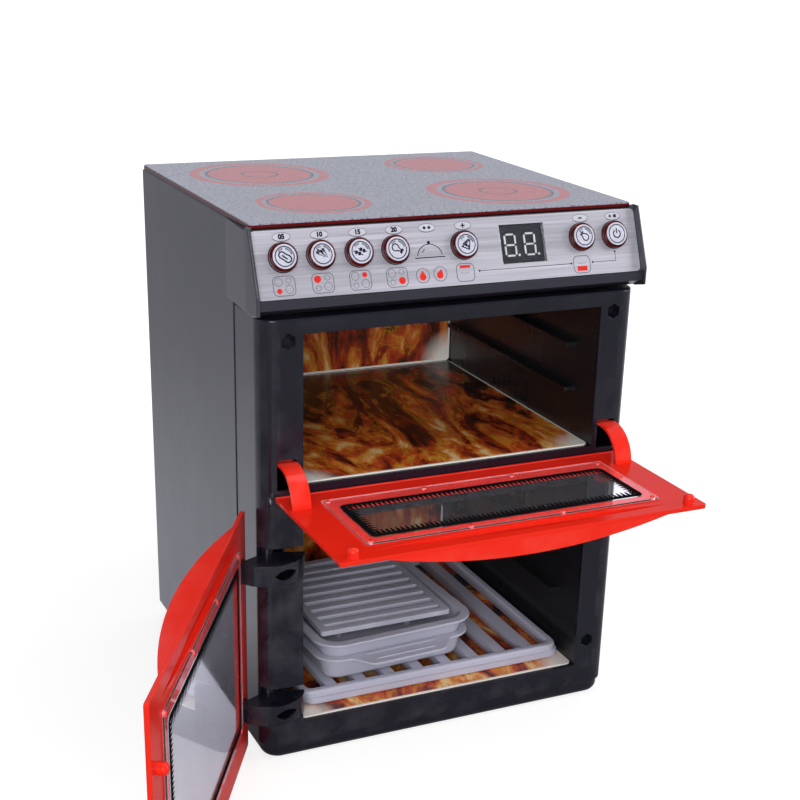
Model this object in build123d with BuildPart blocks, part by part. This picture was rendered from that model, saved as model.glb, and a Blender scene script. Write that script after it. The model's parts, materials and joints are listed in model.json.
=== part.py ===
from build123d import *
import os
from math import cos, hypot, radians, sin, tan

# Toy oven: hob above a slanted control panel, upper oven with a drop-down door and lower
# oven with a side-hung door. Millimetres. +X is to the right, +Y to the back, +Z up. The
# origin is the centre of the flat underside. Both doors stand open in the rest pose.

os.makedirs("parts", exist_ok=True)

# ---------------------------------------------------------------- driving dimensions
WIDTH = 260.0  # casing, side to side
DEPTH = 242.0  # front face of the frame to the back
HEIGHT = 349.0  # floor to the top of the hob
WALL = 2.5  # moulded shells
GAP = 0.2  # between fixed neighbours

HALF = WIDTH / 2
FRONT = -DEPTH / 2
BACK = DEPTH / 2

PLINTH_TOP = 11.0
PLINTH_INSET = 2.0
PLINTH_CORNER = 12.0  # upright edges
PLINTH_ROUND = 6.5  # lower edge

SEAM = FRONT + 47.0  # where frame and casing meet on the sides
FRAME_TOP = 296.0
FRAME_HALF = 129.5
FRAME_ROUND = 12.0  # upright edges between face and sides
FRAME_SKIN = 2.3

OPENING_HALF = 102.7
LOWER_OPENING = (26.0, 165.0)  # bottom and top of each oven mouth
UPPER_OPENING = (191.0, 286.3)

LINER_HALF = 103.0  # inner faces of the oven walls
LINER_SKIN = 2.0
LINER_FRONT = FRONT + 2.7
LINER_BACK = FRONT + 215.0
LEDGE_DEEP = 7.0
LEDGE_TALL = 3.0
LEDGE_FRONT = FRONT + 28.0
LEDGE_BACK = FRONT + 205.0
CARD = 0.8

TOP_WALL = 345.6  # upper face of the casing's top
LIGHT_PLATE = 2.7
CHEEK_HALF = 132.7  # ends of the control panel
CHEEK_ROOT = 4.2  # thickness where each end joins the casing
CHEEK_INNER = 130.7  # inner faces of the thin wings beside the panel
CHEEK_PROUD = 4.0  # how far they stand out in front of the frame's face

FASCIA_FOOT = (FRONT - 2.3, 300.1)  # bottom of the slanted panel, y and z
FASCIA_HEAD = (FRONT + 17.3, 349.0)

# Slanted panel: local x is to the right, local y up the slope, local z out of the face.
slope_rise = FASCIA_HEAD[1] - FASCIA_FOOT[1]
slope_run = FASCIA_HEAD[0] - FASCIA_FOOT[0]
slope_len = hypot(slope_rise, slope_run)
fascia = Plane(
    origin=(0, *FASCIA_FOOT),
    x_dir=(1, 0, 0),
    z_dir=(0, -slope_rise / slope_len, slope_run / slope_len),
)
face = Plane.XZ.offset(-FRONT)  # the frame's front face, local y is up
underside = Plane(origin=(0, 0, 0), x_dir=(1, 0, 0), z_dir=(0, 0, -1))
rear = Plane(origin=(0, BACK, 0), x_dir=(-1, 0, 0), z_dir=(0, 1, 0))

# Burners: x and y of each centre
BURNERS = [
    (-68.0, FRONT + 72.0),
    (-65.0, FRONT + 181.0),
    (65.0, FRONT + 78.0),
    (72.0, FRONT + 190.0),
]
BURNER_HOLE_R = 30.0
BURNER_POST_R = 33.0  # posts of each light board stand on this circle

# Control panel, along the slope
PANEL_HALF = 130.4
PANEL_LOW = 8.2
PANEL_HIGH = 48.5
PANEL_THICK = 0.6
BUTTON_ROW = 32.3
BUTTON_X = {
    "five": -112.2,
    "ten": -88.6,
    "fifteen": -64.3,
    "twenty": -40.6,
    "plus": 5.5,
    "minus": 89.0,
    "power": 113.2,
}
BUTTON_R = 8.7
BUTTON_HOLE_R = 9.0
BUTTON_OUT = 4.2
BUTTON_FACE_R = 7.2
BUTTON_FACE_THICK = 0.7
BUTTON_GROOVE = (5.9, 6.2)  # inner and outer radius of the ring cut in each disc
BUTTON_GROOVE_DEEP = 0.2
FLANGE_R = 10.8
FLANGE_TOP = -WALL - 0.2
FLANGE_LOW = FLANGE_TOP - 1.2
STEM_R = 3.0
STEM_LOW = FLANGE_LOW - 1.0
DISPLAY_X = (31.2, 62.5)
DISPLAY_Y = (19.0, 43.0)
BOARD_FRONT = -9.0
BOARD_THICK = 1.6
BOARD_POSTS = [(-100.4, 15.5), (-18.0, 15.5), (75.0, 15.5), (101.0, 15.5)]

# Doors
DOOR_HALF = 121.8
DOOR_THICK = 3.0
UPPER_PIVOT = (FRONT - 2.3, 184.5)  # y and z of the drop-down door's pins
UPPER_FACE = 186.0  # inner face of the upper door when it lies open
UPPER_FREE = FRONT - 105.9
LOWER_PIVOT = (-122.0, FRONT + 12.7)  # x and y of the side-hung door's pins
LOWER_OPEN = 119.5  # degrees
LOWER_DOOR = (5.0, 171.9)  # bottom and top edges
LOWER_FACE_OFF = 13.7  # inner face from the pivot
BARREL_R = 2.0
HANDLE_HALF = 94.0
HANDLE_DEEP = 15.0
UPPER_HANDLE_OUT = 10.6
LOWER_HANDLE_OUT = 12.5
HANDLE_SINK = 0.5  # the handle's ends run this far into the leaf
STUD_R = 3.5
STUD_TALL = 6.0
STUD_DOME = 2.6
DOOR_CORNER = 2.0
DOOR_ROUND = 0.9
PANE_HALF = 98.5
PANE_THICK = 1.2
PANE_GAP = 0.1  # air between the pane and the door's inner face
PANE_TOP = 17.5  # from the handle edge
WINDOW_HALF = 92.0
WINDOW_TOP = 24.5
WINDOW_CORNER = 4.0
STAKE_R = 1.3
STAKE_HEAD = 0.4  # above the pane
STAKE_FIT = 0.05
STAKE_X = (31.0, 95.0)
STAKE_INSET = 2.8  # from the pane's long edges
# Grip hollow behind the handle: half length and where its two curves cross the middle, for the
# wide shallow part and the narrow deep part
HOLLOW_Y = 9.5  # of its pointed ends
HOLLOW_WIDE = (97.0, 6.0, 15.0)
HOLLOW_NARROW = (60.0, 7.0, 13.0)
HOLLOW_SHALLOW = 1.8
HOLLOW_DEEP = 7.8
UPPER_ARM_X = (107.0, 119.0)
UPPER_ARM_R = (20.7, 22.7)
LOWER_ARM_R = (21.4, 23.4)
LOWER_ARMS = {"hinge_arm_top": 131.0, "hinge_arm_bottom": 33.0}  # bottom of each strap
ARM_TALL = 13.6
ARM_WEB = 1.8
KNUCKLE_R = 3.6
PIN_FIT = 0.05
LOWER_PIN_R = 1.5
UPPER_PIN_R = 1.2
SLOT_TALL = 21.0  # jamb slots that let the lower arms swing
SLOT_DROP = 1.0  # slot bottom below its strap
CATCH_HEX_R = 5.0  # sockets that hold the studs
CATCHES = [(-112.0, 282.5), (112.0, 282.5), (111.5, 131.0), (111.5, 44.5)]

# Screws
SCREW_R = 1.45
SCREW_HOLE_R = 1.5
SCREW_HEAD_R = 3.1
SCREW_HEAD = 1.5
BASE_SCREWS = [(-92.0, FRONT + 11.0), (92.0, FRONT + 11.0), (-118.0, BACK - 17.0), (118.0, BACK - 17.0)]
BASE_BORE_DEPTH = 4.5
REAR_SCREWS = [(x, z) for x in (-123.0, 123.0) for z in (50.0, 180.0, 325.0)]

# Racks and trays in the lower oven
RACK_HALF = 97.5
RACK_DEEP = 186.0
RACK_ROD = 6.0
RACK_BAR = 8.0
RACK_PITCH = 21.35
RACK_BARS = 8
RACKS = {"rack_lower": (2.5, FRONT + 14.5, 27.0), "rack_upper": (-1.0, FRONT + 12.0, 33.1)}

# Battery bay on the rear cover
BAY_X = 29.0
BAY_Z = (62.0, 108.0)
BAY_WALL = 4.0
BAY_FRONT = BACK - 21.0
COVER_FRONT = BACK - WALL


def door_point(along, out):
    """x and y of a point on the open lower door: along it from the hinge edge, out of its inner face."""
    turn = radians(LOWER_OPEN)
    foot_x = LOWER_POINT_X + along * cos(turn) + out * sin(turn)
    foot_y = LOWER_POINT_Y - along * sin(turn) + out * cos(turn)
    return foot_x, foot_y


# The hinge edge of the open lower door lies square across from the pivot.
LOWER_POINT_X = LOWER_PIVOT[0] - LOWER_FACE_OFF * sin(radians(LOWER_OPEN))
LOWER_POINT_Y = LOWER_PIVOT[1] - LOWER_FACE_OFF * cos(radians(LOWER_OPEN))


# ---------------------------------------------------------------- housing shells
# Plinth: a shallow tray that the oven stands on, with ribs under the lower oven
PLINTH_FRONT = FRONT + 1.0
PLINTH_BACK = BACK - 1.5
PLINTH_HALF = HALF - PLINTH_INSET
RIB_X = 60.0
RIB_HALF_LONG = 72.0
with BuildPart() as base_plinth:
    with BuildSketch():
        with Locations((0, (PLINTH_FRONT + PLINTH_BACK) / 2)):
            RectangleRounded(2 * PLINTH_HALF, PLINTH_BACK - PLINTH_FRONT, PLINTH_CORNER)
    extrude(amount=PLINTH_TOP)
    fillet(base_plinth.edges().group_by(Axis.Z)[0], PLINTH_ROUND)
    with BuildSketch(Plane.XY.offset(WALL)):
        with Locations((0, (PLINTH_FRONT + PLINTH_BACK) / 2)):
            RectangleRounded(
                2 * (PLINTH_HALF - WALL), PLINTH_BACK - PLINTH_FRONT - 2 * WALL, PLINTH_CORNER - WALL
            )
    extrude(amount=PLINTH_TOP, mode=Mode.SUBTRACT)
    with BuildSketch(Plane.XY.offset(WALL)):
        with Locations((-RIB_X, 0), (RIB_X, 0)):
            Rectangle(WALL, 2 * RIB_HALF_LONG)
    extrude(amount=LOWER_OPENING[0] - LINER_SKIN - GAP - WALL)
    with BuildSketch(Plane.XY.offset(WALL)):
        with Locations(*BASE_SCREWS):
            Circle(5.5)
    extrude(amount=PLINTH_TOP - WALL)
    with Locations(underside):
        with Locations(*[(x, -y) for x, y in BASE_SCREWS]):
            CounterBoreHole(SCREW_R + 0.3, SCREW_HEAD_R + 0.3, BASE_BORE_DEPTH, PLINTH_TOP + 1)
base_plinth.part.label = "base_plinth"
export_step(base_plinth.part, "parts/base_plinth.step")

# Casing: side walls, top and slanted front in one moulding, open at front, back and bottom
SKIRT_FRONT = FRONT - 1.5
SKIRT_LOW = 302.0
SKIRT_TOP = 307.3
CASING_LIP = 297.2  # lower edge of the head, over the frame
FLARE_FRONT = FRONT + 16.0
FLARE_BACK = FRONT + 60.0


def slope_y(z, depth=0.0):
    """y of the slanted panel at height z, depth behind its face."""
    along = (z - FASCIA_FOOT[1]) / slope_rise
    return FASCIA_FOOT[0] + along * slope_run + depth * slope_len / slope_rise


with BuildPart() as panel_cheek:
    with BuildSketch(Plane.XY.offset(CASING_LIP)):
        with BuildLine():
            Polyline(
                (CHEEK_HALF - CHEEK_ROOT, FRONT - CHEEK_PROUD),
                (CHEEK_HALF, FRONT - CHEEK_PROUD),
                (CHEEK_HALF, FLARE_FRONT),
                (HALF, FLARE_BACK),
                (CHEEK_HALF - CHEEK_ROOT, FLARE_BACK),
                close=True,
            )
        make_face()
    extrude(amount=60)
    with BuildSketch(Plane.YZ):
        with BuildLine():
            Polyline(
                (FRONT - CHEEK_PROUD, 299.6),
                (FRONT - CHEEK_PROUD, 311.0),
                (FRONT + 11.5, 347.8),
                (FRONT + 16.7, 347.8),
                (FRONT + 16.7, TOP_WALL),
                (FLARE_BACK, TOP_WALL),
                (FLARE_BACK, CASING_LIP),
                (FRONT + 6.0, CASING_LIP),
                close=True,
            )
        make_face()
        fillet(vertices().group_by(Axis.Y)[0], 2.5)
    extrude(amount=CHEEK_HALF, mode=Mode.INTERSECT)
    outer_edges = panel_cheek.edges().filter_by(lambda e: e.center().X > CHEEK_HALF - 0.01)
    fillet(outer_edges, 1.2)

with BuildPart() as outer_casing:
    with BuildSketch(Plane.YZ.offset(-HALF)):
        with BuildLine():
            Polyline(
                (SEAM, PLINTH_TOP),
                (BACK, PLINTH_TOP),
                (BACK, TOP_WALL),
                (slope_y(TOP_WALL), TOP_WALL),
                (slope_y(SKIRT_TOP), SKIRT_TOP),
                (SKIRT_FRONT, SKIRT_TOP),
                (SKIRT_FRONT, SKIRT_LOW),
                (FRONT + 8.0, CASING_LIP),
                (SEAM, CASING_LIP),
                close=True,
            )
        make_face()
    extrude(amount=WIDTH)
    long_top = outer_casing.edges().filter_by(Axis.Y).group_by(Axis.Z)[-1]
    fillet(long_top, 1.2)
    with BuildSketch(Plane.YZ.offset(-(HALF - WALL))):
        with BuildLine():
            Polyline(
                (SEAM - 1, PLINTH_TOP - 1),
                (BACK + 1, PLINTH_TOP - 1),
                (BACK + 1, TOP_WALL - WALL),
                (slope_y(TOP_WALL - WALL, WALL), TOP_WALL - WALL),
                (slope_y(SKIRT_TOP, WALL), SKIRT_TOP),
                (SKIRT_FRONT + WALL, SKIRT_LOW + 2.0),
                (FRONT + 9.5, CASING_LIP + 2.0),
                (FRONT + 13.0, CASING_LIP + 2.0),
                (FRONT + 13.0, CASING_LIP - 1),
                (SEAM - 1, CASING_LIP - 1),
                close=True,
            )
        make_face()
    extrude(amount=WIDTH - 2 * WALL, mode=Mode.SUBTRACT)
    add(panel_cheek.part)
    add(mirror(panel_cheek.part, about=Plane.YZ))
    # in front of the panel and the skirt the ends thin out to wings
    with BuildSketch(Plane.YZ):
        with BuildLine():
            Polyline(
                (FRONT - 2 * CHEEK_PROUD, CASING_LIP - 1),
                (FRONT + 8.0, CASING_LIP - 1),
                (FRONT + 8.0, CASING_LIP),
                (SKIRT_FRONT, SKIRT_LOW),
                (SKIRT_FRONT, SKIRT_TOP),
                (slope_y(SKIRT_TOP), SKIRT_TOP),
                (slope_y(HEIGHT), HEIGHT),
                (FRONT - 2 * CHEEK_PROUD, HEIGHT),
                close=True,
            )
        make_face()
    extrude(amount=CHEEK_INNER, both=True, mode=Mode.SUBTRACT)
    # button holes and display window in the slanted wall
    with BuildSketch(fascia):
        with Locations(*[(x, BUTTON_ROW) for x in BUTTON_X.values()]):
            Circle(BUTTON_HOLE_R)
        with Locations((sum(DISPLAY_X) / 2, sum(DISPLAY_Y) / 2)):
            Rectangle(DISPLAY_X[1] - DISPLAY_X[0] + 2 * GAP, DISPLAY_Y[1] - DISPLAY_Y[0] + 2 * GAP)
    extrude(amount=-2 * WALL, mode=Mode.SUBTRACT)
    # posts behind the slanted wall for the circuit board
    with BuildSketch(fascia.offset(BOARD_FRONT)):
        with Locations(*BOARD_POSTS):
            Circle(2.6)
            Circle(1.0, mode=Mode.SUBTRACT)
    extrude(amount=-BOARD_FRONT - WALL + 0.5)
    # openings under the burners, and three posts round each for its light board
    with BuildSketch(Plane.XY.offset(TOP_WALL)):
        with Locations(*BURNERS):
            Circle(BURNER_HOLE_R)
    extrude(amount=-2 * WALL, mode=Mode.SUBTRACT)
    with BuildSketch(Plane.XY.offset(TOP_WALL - WALL + 0.5)):
        with Locations(*BURNERS):
            with PolarLocations(BURNER_POST_R, 3, start_angle=90):
                Circle(2.4)
                Circle(1.0, mode=Mode.SUBTRACT)
    extrude(amount=-3.5)
    # posts for the rear cover's screws, run into the side walls
    with BuildSketch(rear.offset(-WALL - GAP)):
        with Locations(*[(-x, z) for x, z in REAR_SCREWS]):
            Circle(4.8)
    extrude(amount=-15)
    with Locations(rear.offset(-WALL)):
        with Locations(*[(-x, z) for x, z in REAR_SCREWS]):
            Hole(SCREW_HOLE_R, 14)
    # bosses for the two rear base screws, each ribbed to its side wall
    with BuildSketch(Plane.XY.offset(PLINTH_TOP)):
        for x, y in BASE_SCREWS[2:]:
            side = 1 if x > 0 else -1
            with Locations((x, y)):
                Circle(4.5)
            with Locations((side * (HALF - 6), y)):
                Rectangle(10, 3)
            with Locations((x, y)):
                Circle(SCREW_HOLE_R, mode=Mode.SUBTRACT)
    extrude(amount=16)
outer_casing.part.label = "outer_casing"
export_step(outer_casing.part, "parts/outer_casing.step")

# Front frame: face with both oven mouths, jamb slots, stud sockets and hinge carriers
EAR = 2.5
LUG_R = 2.3
LUG_DEEP = 6.5
FRAME_BOTTOM = PLINTH_TOP
with BuildPart() as front_frame:
    with BuildSketch(Plane.XY.offset(FRAME_BOTTOM)):
        with BuildLine():
            Polyline(
                (-FRAME_HALF, FRONT),
                (FRAME_HALF, FRONT),
                (FRAME_HALF, SEAM - GAP),
                (-FRAME_HALF, SEAM - GAP),
                close=True,
            )
        make_face()
        fillet(vertices().group_by(Axis.Y)[0], FRAME_ROUND)
    extrude(amount=FRAME_TOP - FRAME_BOTTOM)
    top_front = front_frame.edges().group_by(Axis.Z)[-1].group_by(Axis.Y)[0]
    fillet(top_front, 1.2)
    with BuildSketch(Plane.XY.offset(FRAME_BOTTOM + FRAME_SKIN)):
        with BuildLine():
            Polyline(
                (-FRAME_HALF + FRAME_SKIN, FRONT + WALL),
                (FRAME_HALF - FRAME_SKIN, FRONT + WALL),
                (FRAME_HALF - FRAME_SKIN, SEAM + 1),
                (-FRAME_HALF + FRAME_SKIN, SEAM + 1),
                close=True,
            )
        make_face()
        fillet(vertices().group_by(Axis.Y)[0], FRAME_ROUND - FRAME_SKIN)
    extrude(amount=FRAME_TOP - FRAME_BOTTOM - 2 * FRAME_SKIN, mode=Mode.SUBTRACT)
    # oven mouths and the slots of the upper door's straps
    with BuildSketch(face):
        for low, high in (LOWER_OPENING, UPPER_OPENING):
            with Locations((0, (low + high) / 2)):
                Rectangle(2 * OPENING_HALF, high - low)
        for side in (-1, 1):
            with Locations((side * (UPPER_ARM_X[0] + UPPER_ARM_X[1]) / 2, 199.0)):
                Rectangle(UPPER_ARM_X[1] - UPPER_ARM_X[0] + 1.2, 19.6)
    extrude(amount=-2 * WALL, mode=Mode.SUBTRACT)
    # slots round the left jamb for the lower door's arms
    for strap_low in LOWER_ARMS.values():
        with BuildSketch(Plane.XY.offset(strap_low - SLOT_DROP)):
            with Locations(((-HALF - OPENING_HALF) / 2, FRONT + 5.0)):
                Rectangle(HALF - OPENING_HALF + 1, 12.0)
        extrude(amount=SLOT_TALL, mode=Mode.SUBTRACT)
    # ears above and below each slot carry the lower door's pins
    for strap_low in LOWER_ARMS.values():
        for ear_low in (strap_low - SLOT_DROP - EAR, strap_low - SLOT_DROP + SLOT_TALL):
            with BuildSketch(Plane.XY.offset(ear_low)):
                with BuildLine():
                    Polyline(
                        (-115.0, FRONT + 1),
                        (-121.0, FRONT + 1),
                        (-126.0, FRONT + 5.5),
                        (-128.0, FRONT + 20),
                        (-115.0, FRONT + 20),
                        close=True,
                    )
                make_face()
                with Locations(LOWER_PIVOT):
                    Circle(LOWER_PIN_R, mode=Mode.SUBTRACT)
            extrude(amount=EAR)
    # sockets behind the face for the door studs
    with BuildSketch(face.offset(-1)):
        with Locations(*CATCHES):
            Circle(6.4)
    extrude(amount=-8.5)
    with BuildSketch(face):
        with Locations(*CATCHES):
            RegularPolygon(CATCH_HEX_R, 6, rotation=30)
    extrude(amount=-8.2, mode=Mode.SUBTRACT)
    # lugs in front of the face carry the upper door's pins
    for side in (-1, 1):
        with BuildSketch(Plane.YZ.offset(side * (DOOR_HALF + 0.4))):
            with Locations(UPPER_PIVOT):
                Circle(LUG_R)
            with Locations((UPPER_PIVOT[0] + LUG_DEEP / 2, UPPER_PIVOT[1])):
                Rectangle(LUG_DEEP, 2 * LUG_R)
            with Locations(UPPER_PIVOT):
                Circle(UPPER_PIN_R + 0.02, mode=Mode.SUBTRACT)
        extrude(amount=side * 2.8)
    # tongues that reach into the casing
    for side in (-1, 1):
        with BuildSketch(Plane.YZ.offset(side * (HALF - WALL - GAP))):
            with Locations(*[(SEAM + 2, z) for z in (70.0, 100.0, 230.0)]):
                Rectangle(20, 14)
        extrude(amount=-side * 2.4)
    # bosses for the two front base screws
    with BuildSketch(Plane.XY.offset(FRAME_BOTTOM)):
        with Locations(*BASE_SCREWS[:2]):
            Circle(4.5)
    extrude(amount=12)
    with BuildSketch(Plane.XY.offset(FRAME_BOTTOM)):
        with Locations(*BASE_SCREWS[:2]):
            Circle(SCREW_HOLE_R)
    extrude(amount=12, mode=Mode.SUBTRACT)
front_frame.part.label = "front_frame"
export_step(front_frame.part, "parts/front_frame.step")

# Rear cover: closes the back, carries the speaker grille and the way into the battery bay
COVER_HALF = HALF - WALL - GAP
COVER_LOW = PLINTH_TOP + GAP
COVER_HIGH = TOP_WALL - WALL - GAP
SPEAKER_AT = (62.0, 314.0)
GRILLE_HOLE_R = 1.3
GRILLE_RINGS = ((5.0, 6), (10.0, 12), (15.0, 18))
COOLING_X = (10.0, 22.0, 34.0, 46.0, 58.0, 70.0)
COOLING_Z = 314.0
COOLING_TALL = 22.0
COOLING_WIDE = 3.0
DOOR_SCREW_Z = 114.5
with BuildPart() as rear_cover:
    with BuildSketch(rear):
        with Locations((0, (COVER_LOW + COVER_HIGH) / 2)):
            Rectangle(2 * COVER_HALF, COVER_HIGH - COVER_LOW)
        with Locations((0, (BAY_Z[0] + BAY_Z[1]) / 2)):
            Rectangle(2 * BAY_X + 4, BAY_Z[1] - BAY_Z[0] + 4, mode=Mode.SUBTRACT)
        with Locations((0, DOOR_SCREW_Z - 1)):
            Rectangle(12.4, 10.4, mode=Mode.SUBTRACT)
        # speaker grille
        with Locations((-SPEAKER_AT[0], SPEAKER_AT[1])):
            Circle(GRILLE_HOLE_R, mode=Mode.SUBTRACT)
            for ring, count in GRILLE_RINGS:
                with PolarLocations(ring, count):
                    Circle(GRILLE_HOLE_R, mode=Mode.SUBTRACT)
        # cooling slots beside it
        with Locations(*[(x, COOLING_Z) for x in COOLING_X]):
            SlotCenterToCenter(COOLING_TALL, COOLING_WIDE, rotation=90, mode=Mode.SUBTRACT)
    extrude(amount=-WALL)
    with Locations(rear):
        with Locations(*[(-x, z) for x, z in REAR_SCREWS]):
            CounterBoreHole(SCREW_R + 0.25, SCREW_HEAD_R + 0.3, SCREW_HEAD, WALL + 1)
    # ring that holds the speaker
    with BuildSketch(rear.offset(-WALL)):
        with Locations((-SPEAKER_AT[0], SPEAKER_AT[1])):
            Circle(22.5)
            Circle(20.6, mode=Mode.SUBTRACT)
    extrude(amount=-4)
    # four stand-offs that keep the oven liners against the frame
    with BuildSketch(rear.offset(-WALL)):
        with Locations(*[(x, z) for x in (-75.0, 75.0) for z in (140.0, 215.0)]):
            Circle(4.0)
    extrude(amount=-(COVER_FRONT - (LINER_BACK + LINER_SKIN) - GAP))
rear_cover.part.label = "rear_cover"
export_step(rear_cover.part, "parts/rear_cover.step")

# ---------------------------------------------------------------- ovens


def liner(bottom, top, ledges):
    """An oven liner: a box open at the front, with runner ledges up both walls."""
    with BuildPart() as shell:
        with BuildSketch(Plane.XZ.offset(-LINER_FRONT)):
            with Locations((0, (bottom + top) / 2)):
                Rectangle(2 * (LINER_HALF + LINER_SKIN), top - bottom + 2 * LINER_SKIN)
        extrude(amount=-(LINER_BACK + LINER_SKIN - LINER_FRONT))
        with BuildSketch(Plane.XZ.offset(-LINER_FRONT)):
            with Locations((0, (bottom + top) / 2)):
                Rectangle(2 * LINER_HALF, top - bottom)
        extrude(amount=-(LINER_BACK - LINER_FRONT), mode=Mode.SUBTRACT)
        with BuildSketch(Plane.XZ.offset(-LEDGE_FRONT)):
            for height in ledges:
                for side in (-1, 1):
                    with Locations((side * (LINER_HALF - LEDGE_DEEP / 2 + 0.5), height)):
                        Rectangle(LEDGE_DEEP + 1, LEDGE_TALL)
        extrude(amount=-(LEDGE_BACK - LEDGE_FRONT))
    return shell.part


with BuildPart() as upper_liner:
    add(liner(UPPER_OPENING[0], UPPER_OPENING[1] + 0.7, (223.0, 254.0)))
upper_liner.part.label = "upper_liner"
export_step(upper_liner.part, "parts/upper_liner.step")

LOWER_LINER_TOP = LOWER_OPENING[1] + 0.5
with BuildPart() as lower_liner:
    add(liner(LOWER_OPENING[0], LOWER_LINER_TOP, (74.0, 105.0)))
    # the arms of the lower door swing through these notches in the left wall
    with BuildSketch(Plane.YZ.offset(-(LINER_HALF + LINER_SKIN + 1))):
        with Locations(*[(FRONT + 15.0, low - SLOT_DROP + SLOT_TALL / 2) for low in LOWER_ARMS.values()]):
            Rectangle(32.0, SLOT_TALL + 1)
    extrude(amount=LINER_SKIN + 2, mode=Mode.SUBTRACT)
    # ribs that carry the upper liner
    with BuildSketch(Plane.XY.offset(LOWER_LINER_TOP + LINER_SKIN)):
        with Locations((-RIB_X, 0), (RIB_X, 0)):
            Rectangle(WALL, 2 * RIB_HALF_LONG)
    extrude(amount=UPPER_OPENING[0] - LINER_SKIN - GAP - LOWER_LINER_TOP - LINER_SKIN)
lower_liner.part.label = "lower_liner"
export_step(lower_liner.part, "parts/lower_liner.step")


def floor_card(height, front):
    """A printed card that lies on an oven floor."""
    back = LINER_BACK - 1.2
    with BuildPart() as card:
        with BuildSketch(Plane.XY.offset(height)):
            with Locations((0, (front + back) / 2)):
                RectangleRounded(2 * LINER_HALF - 1, back - front, 4.0)
        extrude(amount=CARD)
    return card.part


def back_card(bottom, top):
    """A printed card that stands against an oven's back wall."""
    with BuildPart() as card:
        with BuildSketch(Plane.XZ.offset(-LINER_BACK)):
            with Locations((0, (bottom + top) / 2)):
                RectangleRounded(2 * LINER_HALF - 1, top - bottom, 3.0)
        extrude(amount=CARD)
    return card.part


with BuildPart() as upper_floor_card:
    add(floor_card(UPPER_OPENING[0], FRONT + 3.5))
upper_floor_card.part.label = "upper_floor_card"
export_step(upper_floor_card.part, "parts/upper_floor_card.step")

with BuildPart() as lower_floor_card:
    add(floor_card(LOWER_OPENING[0], FRONT + 3.5))
lower_floor_card.part.label = "lower_floor_card"
export_step(lower_floor_card.part, "parts/lower_floor_card.step")

with BuildPart() as upper_back_card:
    add(back_card(UPPER_OPENING[0] + CARD + 0.2, UPPER_OPENING[1] - 0.5))
upper_back_card.part.label = "upper_back_card"
export_step(upper_back_card.part, "parts/upper_back_card.step")

with BuildPart() as lower_back_card:
    add(back_card(LOWER_OPENING[0] + CARD + 0.2, LOWER_OPENING[1] - 0.5))
lower_back_card.part.label = "lower_back_card"
export_step(lower_back_card.part, "parts/lower_back_card.step")

# ---------------------------------------------------------------- hob
HOB_FRONT = FRONT + 17.0
HOB_BACK = BACK - 0.5
HOB_HALF = 129.4
with BuildPart() as hob_light_plate:
    with BuildSketch(Plane.XY.offset(TOP_WALL)):
        with Locations((0, (HOB_FRONT + HOB_BACK) / 2)):
            RectangleRounded(2 * HOB_HALF, HOB_BACK - HOB_FRONT, 1.5)
    extrude(amount=LIGHT_PLATE)
hob_light_plate.part.label = "hob_light_plate"
export_step(hob_light_plate.part, "parts/hob_light_plate.step")

with BuildPart() as hob_print_sheet:
    with BuildSketch(Plane.XY.offset(TOP_WALL + LIGHT_PLATE)):
        with Locations((0, (HOB_FRONT + HOB_BACK) / 2)):
            RectangleRounded(2 * HOB_HALF - 0.6, HOB_BACK - HOB_FRONT - 0.8, 1.5)
    extrude(amount=HEIGHT - TOP_WALL - LIGHT_PLATE)
hob_print_sheet.part.label = "hob_print_sheet"
export_step(hob_print_sheet.part, "parts/hob_print_sheet.step")

# Round light boards under the burners, each with a ring of small lamps
LIGHT_BOARD_TOP = TOP_WALL - WALL - 3.0
with BuildPart() as burner_light_boards:
    with BuildSketch(Plane.XY.offset(LIGHT_BOARD_TOP)):
        with Locations(*BURNERS):
            Circle(BURNER_POST_R + 3.0)
            with PolarLocations(BURNER_POST_R, 3, start_angle=90):
                Circle(1.3, mode=Mode.SUBTRACT)
    extrude(amount=-BOARD_THICK)
    with BuildSketch(Plane.XY.offset(LIGHT_BOARD_TOP)):
        with Locations(*BURNERS):
            with PolarLocations(18.0, 6):
                Circle(2.5)
    extrude(amount=4.6)
burner_light_boards.part.label = "burner_light_boards"
export_step(burner_light_boards.part, "parts/burner_light_boards.step")

# ---------------------------------------------------------------- control panel
with BuildPart() as fascia_plate:
    with BuildSketch(fascia):
        with Locations((0, (PANEL_LOW + PANEL_HIGH) / 2)):
            RectangleRounded(2 * PANEL_HALF, PANEL_HIGH - PANEL_LOW, 3.0)
        with Locations(*[(x, BUTTON_ROW) for x in BUTTON_X.values()]):
            Circle(BUTTON_HOLE_R, mode=Mode.SUBTRACT)
        with Locations((sum(DISPLAY_X) / 2, sum(DISPLAY_Y) / 2)):
            Rectangle(
                DISPLAY_X[1] - DISPLAY_X[0] + 2 * GAP,
                DISPLAY_Y[1] - DISPLAY_Y[0] + 2 * GAP,
                mode=Mode.SUBTRACT,
            )
    extrude(amount=PANEL_THICK)
fascia_plate.part.label = "fascia_plate"
export_step(fascia_plate.part, "parts/fascia_plate.step")

LENS_BACK = -1.3
with BuildPart() as display_lens:
    with BuildSketch(fascia.offset(LENS_BACK)):
        with Locations((sum(DISPLAY_X) / 2, sum(DISPLAY_Y) / 2)):
            RectangleRounded(DISPLAY_X[1] - DISPLAY_X[0], DISPLAY_Y[1] - DISPLAY_Y[0], 0.6)
    extrude(amount=PANEL_THICK - LENS_BACK)
display_lens.part.label = "display_lens"
export_step(display_lens.part, "parts/display_lens.step")

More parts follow.
